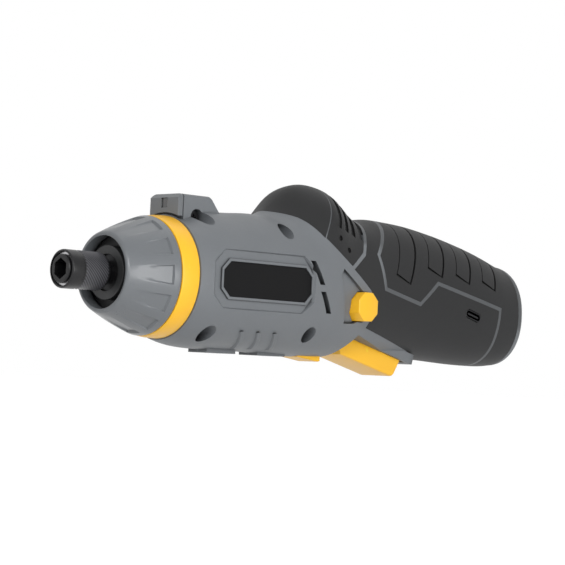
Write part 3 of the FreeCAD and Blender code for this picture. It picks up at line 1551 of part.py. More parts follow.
def make_housing():
    lamp = lamp_box()
    groove_end = s.lamp_front + s.lamp_cover_width + s.lamp_groove
    make_lamp(lamp, groove_end)
    lamp_space = block("lamp_rear_space", (groove_end, groove_end + FAR), (-FAR, FAR), (0, FAR))
    outside = join("outside_blanks", shared("lamp_rear", lamp, lamp_space), *rest_pads())
    ribs = join("rib_blanks", *finger_ribs())
    led_space = rod("led_space", s.lamp_front, 0, s.led_height, s.led_radius + s.slide_gap,
                    s.lamp_cover_width + s.lamp_groove + s.led_length + s.seat_gap)
    hole = button_hole()
    bar = trigger_bar()
    paddle_room, catch_room = trigger_rooms()
    panel_openings = join("panel_openings", usb_slot("panel_usb_slot", s.usb_lip), hole, bar, paddle_room)
    hollow = join("housing_hollow", *body_chambers(), *control_chambers(), *cell_chambers(), led_space,
                  trigger_notch(), trigger_slot(), paddle_room, catch_room, hole, lamp_button_hole(),
                  *screw_wells())
    tools = {"left": [usb_slot("housing_usb_slot", s.seat_gap * 2), label_recess()], "right": []}
    pads = []
    for side in SIDES:
        outer = form("outer_form", side, 0.0)
        skins = make_skins(side, outer, panel_openings)
        pads.append(skins["bump_pad"])
        raised = shared(f"finger_ribs_{side}", ribs, form("rib_form", side, -float(s.rib_height)))
        shape = join(f"housing_blank_{side}", outer, one_side("outside", side, outside), raised)
        for name, skin in skins.items():
            shape = cut(f"housing_under_{name}_{side}", shape, skin)
        shape = cut(f"housing_scooped_{side}", shape, button_scoop(side))
        shape = join(f"housing_barred_{side}", shape, one_side("trigger_bar", side, bar))
        node(f"housing_{side}", cut(f"housing_{side}", shape, hollow, *vents(side), *tools[side]))
    node("bump_pad", join("bump_pad", *pads))


def make_lamp(lamp, groove_end):
    """Front plate of the lamp box, its window and the lamp behind it."""
    cover_end = s.lamp_front + s.lamp_cover_width
    slice_space = block("lamp_cover_space", (s.lamp_front - 1, cover_end), (-FAR, FAR), (0, FAR))
    front = shared("lamp_front_slice", lamp, slice_space)
    window = block("lamp_window", (s.lamp_front - 1, cover_end + 1),
                   (-s.lens_half_width, s.lens_half_width), (s.lens_low, s.lens_high))
    mid, tall, _ = girth(float(cover_end))
    body = rod("lamp_cover_seat", s.lamp_front - 1, 0, 0, mid + tall, s.lamp_cover_width + 2)
    node("lamp_cover", cut("lamp_cover", front, body, window))
    node("lamp_lens", block("lamp_lens", (s.lamp_front + s.lamp_groove, cover_end),
                            (-s.lens_half_width + s.seat_gap, s.lens_half_width - s.seat_gap),
                            (s.lens_low + s.seat_gap, s.lens_high - s.seat_gap)))
    dome = ball("led_dome", groove_end + s.led_radius, 0, s.led_height, s.led_radius)
    stem = rod("led_stem", groove_end + s.led_radius, 0, s.led_height, s.led_radius,
               s.led_length - s.led_radius)
    node("lamp_led", join("lamp_led", dome, stem))


# Tail cap, switch, cell and boards


def tail_block(rims):
    """Solid with the section of the housing's end, drawn in by an inset at each place."""
    halves = []
    for side in SIDES:
        sections = []
        for x, inset in rims:
            tall, wide = float(s.tail_tall) - inset, float(s.tail_wide) - inset
            reaches = [rounded(angle, tall, wide, float(s.squareness)) for angle in directions()]
            sections.append(half_ring(x, float(s.tail_mid), reaches, side))
        halves.append(Part.makeLoft(sections, True, False))
    return halves[0].fuse(halves[1])


def make_tail():
    """Grey end ring, rounded over to a flat rear face, with a spigot inside the housing."""
    start = float(tail_at) + float(s.seat_gap)
    length = float(s.tail_cap_length)
    curve = float(s.tail_cap_round)
    straight = length - curve
    turns = [math.radians(angle) for angle in (0, 30, 60, 80)]
    rim = [(start, 0.0)]
    rim += [(start + straight + curve * math.sin(turn), curve * (1 - math.cos(turn))) for turn in turns]
    spigot_start = tail_at + s.seat_gap - s.tail_spigot
    outer = s.cell_chamber_radius - s.seat_gap
    barrel = rod("tail_spigot", spigot_start, 0, s.cell_mid, outer, s.tail_spigot + 1)
    hollow = rod("tail_hollow", spigot_start - 1, 0, s.cell_mid, outer - s.wall, s.tail_spigot + 1)
    ring = solid("tail_ring", tail_block(rim))
    node("tail_cap", join("tail_cap", ring, cut("tail_barrel", barrel, hollow)))


def make_power():
    half = s.switch_half_width
    node("switch_block", block("switch_block", (s.switch_front, bulkhead_start), (-half, half),
                               (s.switch_low, s.switch_high)))
    front = rod("cell_contact_front", contact_start, 0, s.cell_mid, s.contact_radius, s.contact_width)
    button = rod("cell_button", cell_start, 0, s.cell_mid, s.contact_radius / 2, s.contact_width)
    can = rod("cell_can", cell_start + s.contact_width / 2, 0, s.cell_mid, s.cell_radius,
              s.cell_length - s.contact_width / 2)
    node("battery_cell", join("battery_cell", button, can))
    plate = rod("contact_plate", cell_end, 0, s.cell_mid, s.contact_radius, s.contact_width)
    stalk = rod("contact_stalk", cell_end, 0, s.cell_mid, s.contact_radius / 2, tail_at - cell_end)
    node("cell_contacts", group("cell_contacts", front, join("cell_contact_rear", plate, stalk)))
    board_start = s.cell_rib_front + s.rib_wall
    node("control_board", block("control_board", (board_start, s.cell_rib_rear),
                                (-s.board_half_width, s.board_half_width),
                                (s.board_low, s.board_low + s.board_width)))
    make_usb()


def make_usb():
    """Charging socket with its tongue, beside the cell."""
    mouth = s.usb_set_back - s.heel_wide
    back = mouth + s.usb_depth
    long, tall, wall = float(s.usb_long) / 2, float(s.usb_tall) / 2, float(s.usb_wall)
    shell = side_prism("usb_shell", usb_outline(long, tall), mouth, back)
    space = side_prism("usb_mouth", usb_outline(long - wall, tall - wall), mouth - 1, back - wall)
    tongue = side_prism("usb_tongue", usb_outline(long * float(s.usb_tongue_share), float(s.usb_tongue) / 2),
                        mouth + s.usb_lip, back - wall / 2)
    node("usb_socket", join("usb_socket", cut("usb_can", shell, space), tongue))


def export():
    """Check every piece, then write each node to its own file."""
    doc.recompute()
    for item in doc.Objects:
        if "Invalid" in item.State or "Error" in item.State:
            raise RuntimeError(f"{item.Label} failed: {item.State}")
    for item in nodes:
        if item.Shape.isNull() or not item.Shape.isValid():
            raise RuntimeError(f"{item.Label} has no valid shape")
    os.makedirs("parts", exist_ok=True)
    for item in nodes:
        item.Shape.exportStep(f"parts/{item.Label}.step")
        print(item.Label, len(item.Shape.Solids), round(item.Shape.Volume, 1))


make_spindle()
make_chuck()
make_collar()
make_trim_ring()
make_clutch()
make_gear_case()
make_gears()
make_motor()
make_housing()
make_label()
make_screws()
make_trigger()
make_direction_button()
make_lamp_button()
make_tail()
make_power()
export()
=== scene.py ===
# %% [markdown]
# # Dressing an electric screwdriver
#
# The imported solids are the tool's fixed frame. This lesson keeps the ones whose shape is
# already right, gives every one of them a finish, and models again the pieces whose edges,
# knurls and rounded corners the eye looks for.

# %% Load the frame
import json
import math

import bmesh
import bpy
from mathutils import Matrix, Vector


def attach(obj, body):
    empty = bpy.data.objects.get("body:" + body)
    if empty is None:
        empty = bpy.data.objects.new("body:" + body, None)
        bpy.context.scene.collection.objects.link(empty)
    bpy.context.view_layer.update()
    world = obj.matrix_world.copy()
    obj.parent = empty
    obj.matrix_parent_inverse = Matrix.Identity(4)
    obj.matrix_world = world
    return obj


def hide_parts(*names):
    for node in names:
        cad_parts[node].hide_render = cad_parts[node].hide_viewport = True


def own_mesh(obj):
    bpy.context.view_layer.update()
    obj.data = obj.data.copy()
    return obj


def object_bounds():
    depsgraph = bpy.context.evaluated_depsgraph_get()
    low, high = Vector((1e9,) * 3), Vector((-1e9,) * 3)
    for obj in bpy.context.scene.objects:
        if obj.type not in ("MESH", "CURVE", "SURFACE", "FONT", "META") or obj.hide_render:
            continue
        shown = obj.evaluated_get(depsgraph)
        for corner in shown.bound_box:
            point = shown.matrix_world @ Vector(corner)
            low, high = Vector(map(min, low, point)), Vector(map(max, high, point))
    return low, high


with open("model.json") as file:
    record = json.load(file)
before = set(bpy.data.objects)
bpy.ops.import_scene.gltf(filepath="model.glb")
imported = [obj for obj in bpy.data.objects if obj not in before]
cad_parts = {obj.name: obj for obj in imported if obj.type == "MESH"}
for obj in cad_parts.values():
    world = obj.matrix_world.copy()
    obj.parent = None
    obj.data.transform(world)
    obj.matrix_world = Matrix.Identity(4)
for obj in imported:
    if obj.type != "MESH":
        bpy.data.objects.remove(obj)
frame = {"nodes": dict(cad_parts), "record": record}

MM = 0.001
solid_box = [list(corner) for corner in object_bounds()]

# %% [markdown]
# ## Arithmetic on sockets
#
# A finish is a small graph of nodes. Writing it as sums and products is easier to read than
# wiring boxes by hand, so one class wraps a socket and adds a Math node for each operator.
# Its `node` method makes every other kind of node.


# %% Sockets that can be added and multiplied
class Socket:
    def __init__(self, tree, socket):
        self.tree = tree
        self.socket = socket

    def math(self, operation, *others, flip=False):
        values = [self, *others]
        if flip:
            values.reverse()
        return self.node("ShaderNodeMath", {"operation": operation}, dict(enumerate(values)))

    def node(self, kind, settings=None, inputs=None, output=0):
        made = self.tree.nodes.new(kind)
        for name, value in (settings or {}).items():
            setattr(made, name, value)
        for name, value in (inputs or {}).items():
            if isinstance(value, Socket):
                self.tree.links.new(value.socket, made.inputs[name])
            else:
                made.inputs[name].default_value = value
        return Socket(self.tree, made.outputs[output])

    def __add__(self, other):
        return self.math("ADD", other)

    __radd__ = __add__

    def __sub__(self, other):
        return self.math("SUBTRACT", other)

    def __rsub__(self, other):
        return self.math("SUBTRACT", other, flip=True)

    def __mul__(self, other):
        return self.math("MULTIPLY", other)

    __rmul__ = __mul__

    def into(self, socket):
        self.tree.links.new(self.socket, socket)


print("sockets ready")

# %% [markdown]
# ## One recipe for moulded and machined surfaces
#
# Most of the tool is moulded plastic, rubber or plain metal. They differ in colour, gloss and
# in the size of the texture that the mould or the lathe leaves, so one recipe takes those as
# numbers: a fine grain for the bump, a broad drift for colour and gloss, light scuffs, and
# turning lines where a lathe made the piece. Deep hollows get painted shade: their colour is darkened.
# Three small helpers come first: a noise, a smooth step and a blend of two colours.


# %% Noise, step and blend
def drift(coords, scale, detail=4.0):
    """A soft noise from 0 to 1 over the surface."""
    return coords.node("ShaderNodeTexNoise", {}, {"Vector": coords, "Scale": scale, "Detail": detail})


def ramp(value, low, high):
    """Share of the way that a value has gone from low to high."""
    return value.node("ShaderNodeMapRange", {"interpolation_type": "SMOOTHSTEP"},
                      {"Value": value, "From Min": low, "From Max": high})


def mix(share, first, second):
    """Blend of two colours."""
    return share.node("ShaderNodeMix", {"data_type": "RGBA"}, {"Factor": share, "A": first, "B": second},
                      output=2)


# %% [markdown]
# The shell shows as narrow ribs between the black grips, and there it gets painted shade, darker
# than on the open body. The ribs have no node of their own, so a mask from places on the shell
# finds them: behind the trigger, above it, and across the hump.


# %% Mask of the painted shade on the ribs
def painted_rib_shade_share(coords):
    """One on the narrow ribs between the grips, where painted shade darkens the shell, zero on the rest of
    the shell.
    """
    x, _, z = (coords.node("ShaderNodeSeparateXYZ", {}, {0: coords}, output=i) for i in range(3))
    rear = ramp(x, 165 * MM, 170 * MM) * (1 - ramp(x, 220 * MM, 221 * MM))
    upper = ramp(x, 136 * MM, 140 * MM) * ramp(z, -12 * MM, -8 * MM)
    hump = ramp(x, 107 * MM, 108 * MM) * ramp(z, 17 * MM, 19 * MM)
    return rear.math("MAXIMUM", upper.math("MAXIMUM", hump))


# %% [markdown]
# The recipe itself mixes the colours in order: grain, scuffs, knurl peaks lightened for wear and
# painted highlight, painted shade on the ribs and painted shade in the hollows. Then it sets the
# gloss and, last, the bump, with edges softened a little.

# %% The recipe
FINISHES = {}
EDGE_RADIUS = 0.25 * MM
BUMP_DEPTH = 0.2 * MM
HOLLOW_REACH = 5 * MM
BROAD_SCALE, SCUFF_SCALE, PATCH_SCALE = 90.0, 260.0, 40.0
# Gains for the knurl peaks' wear and painted highlight, the painted shade on the ribs and the painted shade
# in hollows.
TIP_WEAR_AND_HIGHLIGHT_GAIN, PAINTED_RIB_SHADE, PAINTED_HOLLOW_SHADE = 14, 0.5, 0.12


def scaled(colour, gain):
    """A colour made brighter or darker, with full opacity."""
    return (*[min(value * gain, 1.0) for value in colour], 1.0)


def finish(name, colour, shade, rough, grain=2200.0, bump=0.12, metal=0.0, coat=0.0, lines=0.0,
           spread=0.08, specular=0.5, tip_wear_and_highlight=None, painted_shade_mask=None):
    """Material with a fine grain, drifts of colour and gloss, scuffs, optional turning lines, painted shade
    in hollows and on the ribs, and knurl peaks lightened for wear and painted highlight.
    """
    material = bpy.data.materials.new(name)
    material.use_nodes = True
    tree = material.node_tree
    shader = tree.nodes["Principled BSDF"]
    shader.inputs["Metallic"].default_value = metal
    shader.inputs["Coat Weight"].default_value = coat
    shader.inputs["Specular IOR Level"].default_value = specular
    coords = Socket(tree, tree.nodes.new("ShaderNodeTexCoord").outputs["Object"])
    broad = drift(coords, BROAD_SCALE)
    fine = drift(coords, grain, 2.0)
    speck = drift(coords, grain * 0.45, 3.0)
    patches = ramp(drift(coords, PATCH_SCALE), 0.45, 0.65)
    scuff = ramp(drift(coords, SCUFF_SCALE, 6.0), 0.66, 0.78) * patches
    tint = mix(broad * 0.6 + speck * 0.4, (*colour, 1.0), (*shade, 1.0))
    bright = [min(value * 1.5 + 0.01, 1.0) for value in colour]
    tint = mix(scuff * 0.5, tint, (*bright, 1.0))
    # The knurl's peaks are lightened: partly wear through the oxide, partly painted highlight where they
    # catch the light.
    if tip_wear_and_highlight:
        worn_and_highlit_share = coords.node("ShaderNodeAttribute", {"attribute_name": tip_wear_and_highlight}, {}, output=2)
        tint = mix(worn_and_highlit_share, tint, scaled(colour, TIP_WEAR_AND_HIGHLIGHT_GAIN))
    # Painted shade on the narrow ribs between the grips.
    if painted_shade_mask:
        tint = mix(painted_shade_mask(coords), tint, scaled(shade, PAINTED_RIB_SHADE))
    # Painted shade: an occlusion test darkens the colour in hollows, where shade falls.
    open_air = coords.node("ShaderNodeAmbientOcclusion", {"samples": 8, "only_local": True},
                           {"Distance": HOLLOW_REACH}, output=1)
    painted_hollow_shade = 1 - ramp(open_air, 0.3, 0.78)
    tint = mix(painted_hollow_shade, tint, scaled(shade, PAINTED_HOLLOW_SHADE))
    tint.into(shader.inputs["Base Color"])
    (broad * spread + fine * spread + scuff * 0.1 + (rough - spread)).into(shader.inputs["Roughness"])
    height = fine * 0.7 + speck * 0.3
    if lines:
        wave = coords.node(
            "ShaderNodeTexWave", {"bands_direction": "X"},
            {"Vector": coords, "Scale": lines, "Distortion": 0.6, "Detail": 1.0}, output=1)
        height = height * 0.4 + wave * 0.6
    soft = coords.node("ShaderNodeBevel", {"samples": 4}, {"Radius": EDGE_RADIUS})
    normal = height.node("ShaderNodeBump", {}, {
        "Strength": bump, "Distance": BUMP_DEPTH, "Height": height, "Normal": soft})
    normal.into(shader.inputs["Normal"])
    FINISHES[name] = material


print("recipe ready")

# %% [markdown]
# ## The finishes
#
# First the ones that show: two greys, black rubber, yellow, blackened steel, the blank label and
# the lamp's window, coloured near-black as painted shade for the dark slot behind it. The others
# are inside, on the drive, motor, cell and board.

# %% Outside and inside finishes
GREY, GREY_SHADE = (0.152, 0.163, 0.174), (0.133, 0.143, 0.154)
finish("shell_grey", GREY, GREY_SHADE, 0.5, grain=2600.0, bump=0.2, painted_shade_mask=painted_rib_shade_share)
finish("collar_grey", GREY, GREY_SHADE, 0.3, grain=2800.0, bump=0.1)
finish("grip_rubber", (0.012, 0.0122, 0.0128), (0.018, 0.0182, 0.019), 0.56, grain=3000.0, bump=0.3,
       specular=0.26)
finish("signal_yellow", (0.98, 0.54, 0.022), (0.94, 0.49, 0.018), 0.4, grain=2400.0, bump=0.1)
finish("black_oxide", (0.008, 0.008, 0.009), (0.0055, 0.0055, 0.006), 0.34, grain=3500.0, bump=0.12,
       metal=0.2, lines=420.0, specular=0.4, tip_wear_and_highlight="tip_wear_and_highlight")
finish("plain_steel", (0.56, 0.56, 0.57), (0.46, 0.46, 0.47), 0.3, grain=3200.0, bump=0.08, metal=1.0,
       lines=600.0)
finish("blank_label", (0.0035, 0.0035, 0.004), (0.005, 0.005, 0.0055), 0.4, grain=1500.0, bump=0.03,
       specular=0.12)
# Painted shade: the lamp's window is coloured near-black for the dark slot seen through it.
finish("window_painted_shade", (0.06, 0.062, 0.066), (0.045, 0.047, 0.05), 0.1, grain=900.0, bump=0.1, coat=0.6,
       lines=900.0)
finish("magnet_grey", (0.11, 0.11, 0.115), (0.08, 0.08, 0.085), 0.55, grain=2800.0, bump=0.25, metal=0.4)
finish("bearing_bronze", (0.62, 0.41, 0.17), (0.5, 0.32, 0.12), 0.34, grain=2600.0, bump=0.12, metal=1.0)
finish("gear_moulding", (0.7, 0.68, 0.61), (0.62, 0.6, 0.53), 0.5, grain=2400.0, bump=0.12)
finish("plated_case", (0.6, 0.6, 0.62), (0.5, 0.5, 0.52), 0.32, grain=3000.0, bump=0.08, metal=1.0,
       lines=300.0)
finish("red_wire", (0.45, 0.025, 0.022), (0.38, 0.02, 0.018), 0.35, grain=2600.0, bump=0.08)
finish("dark_steel", (0.03, 0.03, 0.032), (0.02, 0.02, 0.022), 0.36, grain=3200.0, bump=0.12, metal=0.8)
finish("inner_black", (0.02, 0.021, 0.022), (0.015, 0.0155, 0.0165), 0.5, grain=2600.0, bump=0.15)
finish("cell_wrap", (0.07, 0.18, 0.42), (0.05, 0.14, 0.34), 0.26, grain=1800.0, bump=0.06, coat=0.2)
finish("board_green", (0.02, 0.13, 0.055), (0.015, 0.1, 0.04), 0.32, grain=2200.0, bump=0.1, coat=0.2)
print("finishes:", ", ".join(FINISHES))

# %% [markdown]
# ## Finishes on the solids that stay
#
# The record gives each node a material slot. Each slot gets one finish, so a solid that stays
# is dressed simply by swapping the material in its own slot.

# %% Dress the solids
SLOT_FINISH = {
    "housing": "shell_grey", "overmould": "grip_rubber", "collar": "collar_grey",
    "accent": "signal_yellow", "chuck": "black_oxide", "steel": "plain_steel",
    "magnet": "magnet_grey", "bronze": "bearing_bronze", "gear_plastic": "gear_moulding",
    "motor_case": "plated_case", "wire": "red_wire", "label": "blank_label",
    "dark_steel": "dark_steel", "lens": "window_painted_shade", "inner_black": "inner_black",
    "cell": "cell_wrap", "board": "board_green",
}
node_slot = {part["node"]: part["material_slot"] for part in frame["record"]["subparts"]}
for name, solid in frame["nodes"].items():
    material = FINISHES[SLOT_FINISH[node_slot[name]]]
    solid.data.materials.clear()
    solid.data.materials.append(material)
print("dressed", len(node_slot), "solids")

# %% [markdown]
# ## From a form to a piece of the tool
#
# Each piece modelled here starts as a few points, is turned or extruded, and has its hard edges
# rounded. Four helpers do these steps: two make a form by turning or extruding, one rounds its
# edges, and one makes the finished form an object that rides on a body and stands for its
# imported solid. A fifth reads a point's place round the spindle.


# %% Turning, rounding and placing
def lathe(profile, steps):
    """Turn a closed profile of (x, radius) places in millimetres about the spindle."""
    form = bmesh.new()
    places = [form.verts.new((x * MM, 0.0, radius * MM)) for x, radius in profile]
    edges = [form.edges.new(pair) for pair in zip(places, places[1:] + places[:1])]
    bmesh.ops.spin(form, geom=places + edges, cent=(0, 0, 0), axis=(1, 0, 0), angle=math.tau,
                   steps=steps, use_merge=True)
    bmesh.ops.recalc_face_normals(form, faces=form.faces)
    return form


def prism(outline, low, high):
    """Extrude a side-view outline of (x, z) places in millimetres from y low to y high."""
    form = bmesh.new()
    face = form.faces.new([form.verts.new((x * MM, low * MM, z * MM)) for x, z in outline])
    grown = bmesh.ops.extrude_face_region(form, geom=[face])["geom"]
    corners = [item for item in grown if isinstance(item, bmesh.types.BMVert)]
    bmesh.ops.translate(form, verts=corners, vec=(0.0, (high - low) * MM, 0.0))
    bmesh.ops.recalc_face_normals(form, faces=form.faces)
    return form


def round_spindle(point):
    """Place along the spindle and radius in millimetres, and the angle round it from +Z."""
    return point.x / MM, math.hypot(point.y, point.z) / MM, math.atan2(point.y, point.z)


def round_edges(form, offset, segments, sharper_than=20.0, only=None):
    """Round the edges whose faces meet at more than an angle."""
    limit = math.radians(sharper_than)
    edges = [edge for edge in form.edges if edge.is_manifold and edge.calc_face_angle() > limit
             and (only is None or only(edge))]
    bmesh.ops.bevel(form, geom=edges, offset=offset * MM, segments=segments, profile=0.5,
                    affect="EDGES", material=-1, clamp_overlap=True)
    return len(edges)


def piece(name, form, body, slot, finish_name, *solids, crease=40.0):
    """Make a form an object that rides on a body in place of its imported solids."""
    bmesh.ops.remove_doubles(form, verts=form.verts, dist=1e-7)
    bmesh.ops.recalc_face_normals(form, faces=form.faces)
    mesh = bpy.data.meshes.new(name)
    form.to_mesh(mesh)
    form.free()
    mesh.shade_smooth()
    mesh.set_sharp_from_angle(angle=math.radians(crease))
    mesh.materials.append(FINISHES[finish_name])
    made = bpy.data.objects.new(name, mesh)
    bpy.context.collection.objects.link(made)
    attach(made, body)
    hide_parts(*solids)
    print(name, "faces", len(mesh.polygons))
    return made


# %% [markdown]
# ## Quick-release sleeve
#
# The sleeve is a short steel bush, turned and blackened. Its rear half is knurled by two rollers
# that press crossed ridges into the metal. Here the profile has one place for each row of the
# knurl, and every other point on the grid is lifted, so that four-sided peaks stand up.

# %% Knurled sleeve
SLEEVE_NOSE = 6.75
SLEEVE_GRIP = 6.45
SLEEVE_FRONT = [(0.5, 6.02), (0.5, 6.3), (0.75, 6.62), (1.2, SLEEVE_NOSE), (5.5, SLEEVE_NOSE), (5.75, 6.5)]
SLEEVE_REAR = [(16.8, 6.3), (16.95, 6.14), (16.95, 6.12)]
KNURL_START, KNURL_END, KNURL_ROWS = 6.1, 16.3, 18
KNURL_STEPS = 72
KNURL_LIFT = 0.3
TIP_WEAR_AND_HIGHLIGHT_SHARE = 0.8

pitch = (KNURL_END - KNURL_START) / KNURL_ROWS
rows = [(KNURL_START + pitch * i, SLEEVE_GRIP) for i in range(KNURL_ROWS + 1)]
sleeve = lathe([*SLEEVE_FRONT, *rows, *SLEEVE_REAR], KNURL_STEPS)
tip_wear_and_highlight = sleeve.verts.layers.float.new("tip_wear_and_highlight")
for place in sleeve.verts:
    x, radius, angle = round_spindle(place.co)
    inside = KNURL_START + pitch / 2 < x < KNURL_END - pitch / 2 and radius > SLEEVE_GRIP - 0.1
    row = round((x - KNURL_START) / pitch)
    column = round(angle / math.tau * KNURL_STEPS)
    if inside and (row + column) % 2 == 0:
        place.co.yz *= (SLEEVE_GRIP + KNURL_LIFT) / radius
        # The lifted peaks are marked for their lighter colour: wear and painted highlight.
        place[tip_wear_and_highlight] = TIP_WEAR_AND_HIGHLIGHT_SHARE
piece("knurled_sleeve", sleeve, "sleeve", "chuck", "black_oxide", "chuck_sleeve", crease=28.0)

# %% [markdown]
# ## Torque collar
#
# The collar is one grey moulding. Its cone bulges a little, and twelve flutes give the fingers
# a hold. Each flute starts at nothing near the front and ends square and deep at the rear. The
# turned blank has its points moved sideways to follow the flutes' tapered edges, then the faces
# inside each flute are inset and lowered to a flat floor.

# %% Shape of the cone and its flutes
FLUTES = 12
STEPS_PER_FLUTE = 12
FLUTE_HALF_STEPS = 2
FLUTE_START, FLUTE_END = 21.2, 33.9
FLUTE_HALF_WIDTH = (2.1, 3.5)
FLUTE_DEPTH = 0.9
FLUTE_RUNOUT = 0.05
FLUTE_SLOPE = 0.35
SECTOR = math.tau / FLUTES
EDGE_ANGLE = SECTOR / STEPS_PER_FLUTE * FLUTE_HALF_STEPS
CONE_START, CONE_END = (18.6, 14.3), (36.1, 21.3)
CONE_BULGE = 0.35


def cone_radius(x):
    """Radius of the bulging cone at a place along the spindle."""
    share = (x - CONE_START[0]) / (CONE_END[0] - CONE_START[0])
    straight = CONE_START[1] + share * (CONE_END[1] - CONE_START[1])
    return straight + CONE_BULGE * 4 * share * (1 - share)


def flute_share(x):
    """Share of a flute's length that lies in front of a place."""
    return min(max((x - FLUTE_START) / (FLUTE_END - FLUTE_START), 0.0), 1.0)


def flute_half(x):
    """Half width of a flute at a place along the spindle."""
    return FLUTE_HALF_WIDTH[0] + flute_share(x) * (FLUTE_HALF_WIDTH[1] - FLUTE_HALF_WIDTH[0])


def in_flute(angle):
    """Angle from the middle of the nearest flute."""
    return (angle + SECTOR / 2) % SECTOR - SECTOR / 2


print("flutes every", round(math.degrees(SECTOR)), "degrees")

# %% [markdown]
# The blank has the same number of columns in every sector. Moving them sideways, more at the
# rear than at the front, puts one column on each edge of each flute without any cutting.


# %% Fluted collar
def follow_taper(place):
    """Move a point sideways so that one column of points lies on each flute's edge."""
    x, radius, angle = round_spindle(place.co)
    offset = in_flute(angle)
    target = flute_half(x) / radius
    if abs(offset) <= EDGE_ANGLE:
        moved = offset / EDGE_ANGLE * target
    else:
        share = (abs(offset) - EDGE_ANGLE) / (SECTOR / 2 - EDGE_ANGLE)
        moved = math.copysign(target + share * (SECTOR / 2 - target), offset)
    turned = angle - offset + moved
    place.co.yz = Vector((math.sin(turned), math.cos(turned))) * radius * MM


COLLAR_NOSE = [(18.0, 12.75), (18.0, 13.6)]
COLLAR_BACK = [(36.68, 21.0), (36.68, 17.46), (22.5, 13.4), (22.5, 12.75)]
COLLAR_ROUNDING = 0.22

cone_places = [CONE_START[0], FLUTE_START, 24.0, 26.5, 29.0, 31.5, FLUTE_END, CONE_END[0]]
cone = [(x, cone_radius(x)) for x in cone_places]
collar = lathe([*COLLAR_NOSE, *cone, *COLLAR_BACK], FLUTES * STEPS_PER_FLUTE)
flute_faces = []
for face in collar.faces:
    x, radius, angle = round_spindle(face.calc_center_median())
    outside = radius > cone_radius(x) - 1
    if outside and FLUTE_START < x < FLUTE_END and abs(in_flute(angle)) < EDGE_ANGLE:
        flute_faces.append(face)
for place in collar.verts:
    follow_taper(place)
bmesh.ops.inset_region(collar, faces=flute_faces, thickness=FLUTE_SLOPE * MM, use_even_offset=True)
floor_places = {place for face in flute_faces for place in face.verts}
for place in floor_places:
    x, radius, angle = round_spindle(place.co)
    floor = cone_radius(x) - FLUTE_RUNOUT - (FLUTE_DEPTH - FLUTE_RUNOUT) * flute_share(x)
    place.co.yz *= min(floor / math.cos(in_flute(angle)), radius) / radius
rounded = round_edges(collar, COLLAR_ROUNDING, 2, 24.0)
print("flute faces", len(flute_faces), "rounded edges", rounded)
piece("fluted_collar", collar, "collar", "collar", "collar_grey", "torque_collar", crease=32.0)

# %% [markdown]
# ## Yellow controls and trim
#
# The trim ring, trigger and buttons are moulded in one yellow plastic. Their edges have the small
# radius that a mould needs, so each one is a plain outline with its edges rounded. The trigger
# leans with its frame in the handle.

# %% Trim ring
TRIM_PROFILE = [(37.0, 19.95), (37.0, 21.15), (37.3, 21.35), (40.0, 21.75), (44.1, 21.88), (44.38, 21.6),
                (44.38, 19.95)]
TRIM_STEPS = 144
TRIM_ROUNDING = 0.12

trim = lathe(TRIM_PROFILE, TRIM_STEPS)
round_edges(trim, TRIM_ROUNDING, 2)
piece("trim_ring", trim, "body", "accent", "signal_yellow", "collar_ring")

# %% Trigger
FRAME_MIDDLE = (143.7, -20.1)
FRAME_LEAN = math.radians(14.7)


def leaning(u, n):
    """Side-view place of a point given along and square to the trigger's frame."""
    return (FRAME_MIDDLE[0] + u * math.cos(FRAME_LEAN) + n * math.sin(FRAME_LEAN),
            FRAME_MIDDLE[1] - u * math.sin(FRAME_LEAN) + n * math.cos(FRAME_LEAN))


TRIGGER_HALF = 8.15
TRIGGER_OUTLINE = [(-13.95, 2.0), (-13.95, -6.0), (-12.7, -7.25), (16.7, -7.25), (17.85, -6.1), (20.2, 2.0)]
TRIGGER_ROUNDING = 0.9
ROUNDED_BELOW = leaning(19, 1)[1] * MM

trigger = prism([leaning(u, n) for u, n in TRIGGER_OUTLINE], -TRIGGER_HALF, TRIGGER_HALF)
round_edges(trigger, TRIGGER_ROUNDING, 4,
            only=lambda edge: min(place.co.z for place in edge.verts) < ROUNDED_BELOW)
piece("trigger_paddle", trigger, "trigger", "accent", "signal_yellow", "trigger")

# %% Direction button
BUTTON_MIDDLE = (126.2, -5.9)
BUTTON_HALF = (5.05, 5.4)
BUTTON_CORNER = 2.95
BUTTON_SPAN = (-24.92, 22.02)
BUTTON_ROUNDING = 0.35


def octagon(middle, half, corner):
    """Side-view outline of an oblong with its corners cut off."""
    x, z = middle
    long, tall = half
    return [(x - long, z - tall + corner), (x - long, z + tall - corner), (x - long + corner, z + tall),
            (x + long - corner, z + tall), (x + long, z + tall - corner), (x + long, z - tall + corner),
            (x + long - corner, z - tall), (x - long + corner, z - tall)]


button = prism(octagon(BUTTON_MIDDLE, BUTTON_HALF, BUTTON_CORNER), *BUTTON_SPAN)
round_edges(button, BUTTON_ROUNDING, 3)
piece("direction_key", button, "direction_button", "accent", "signal_yellow", "direction_button")

# %% [markdown]
# ## Springs
#
# Four springs stand behind the sleeve, clutch nut, trigger and lamp button. Each imported coil
# is copied into a piece of its own that rides on its body, in place of the imported solid. The
# table gives each one's body, joint, axis, fixed end, travel and length, the last three in
# millimetres.

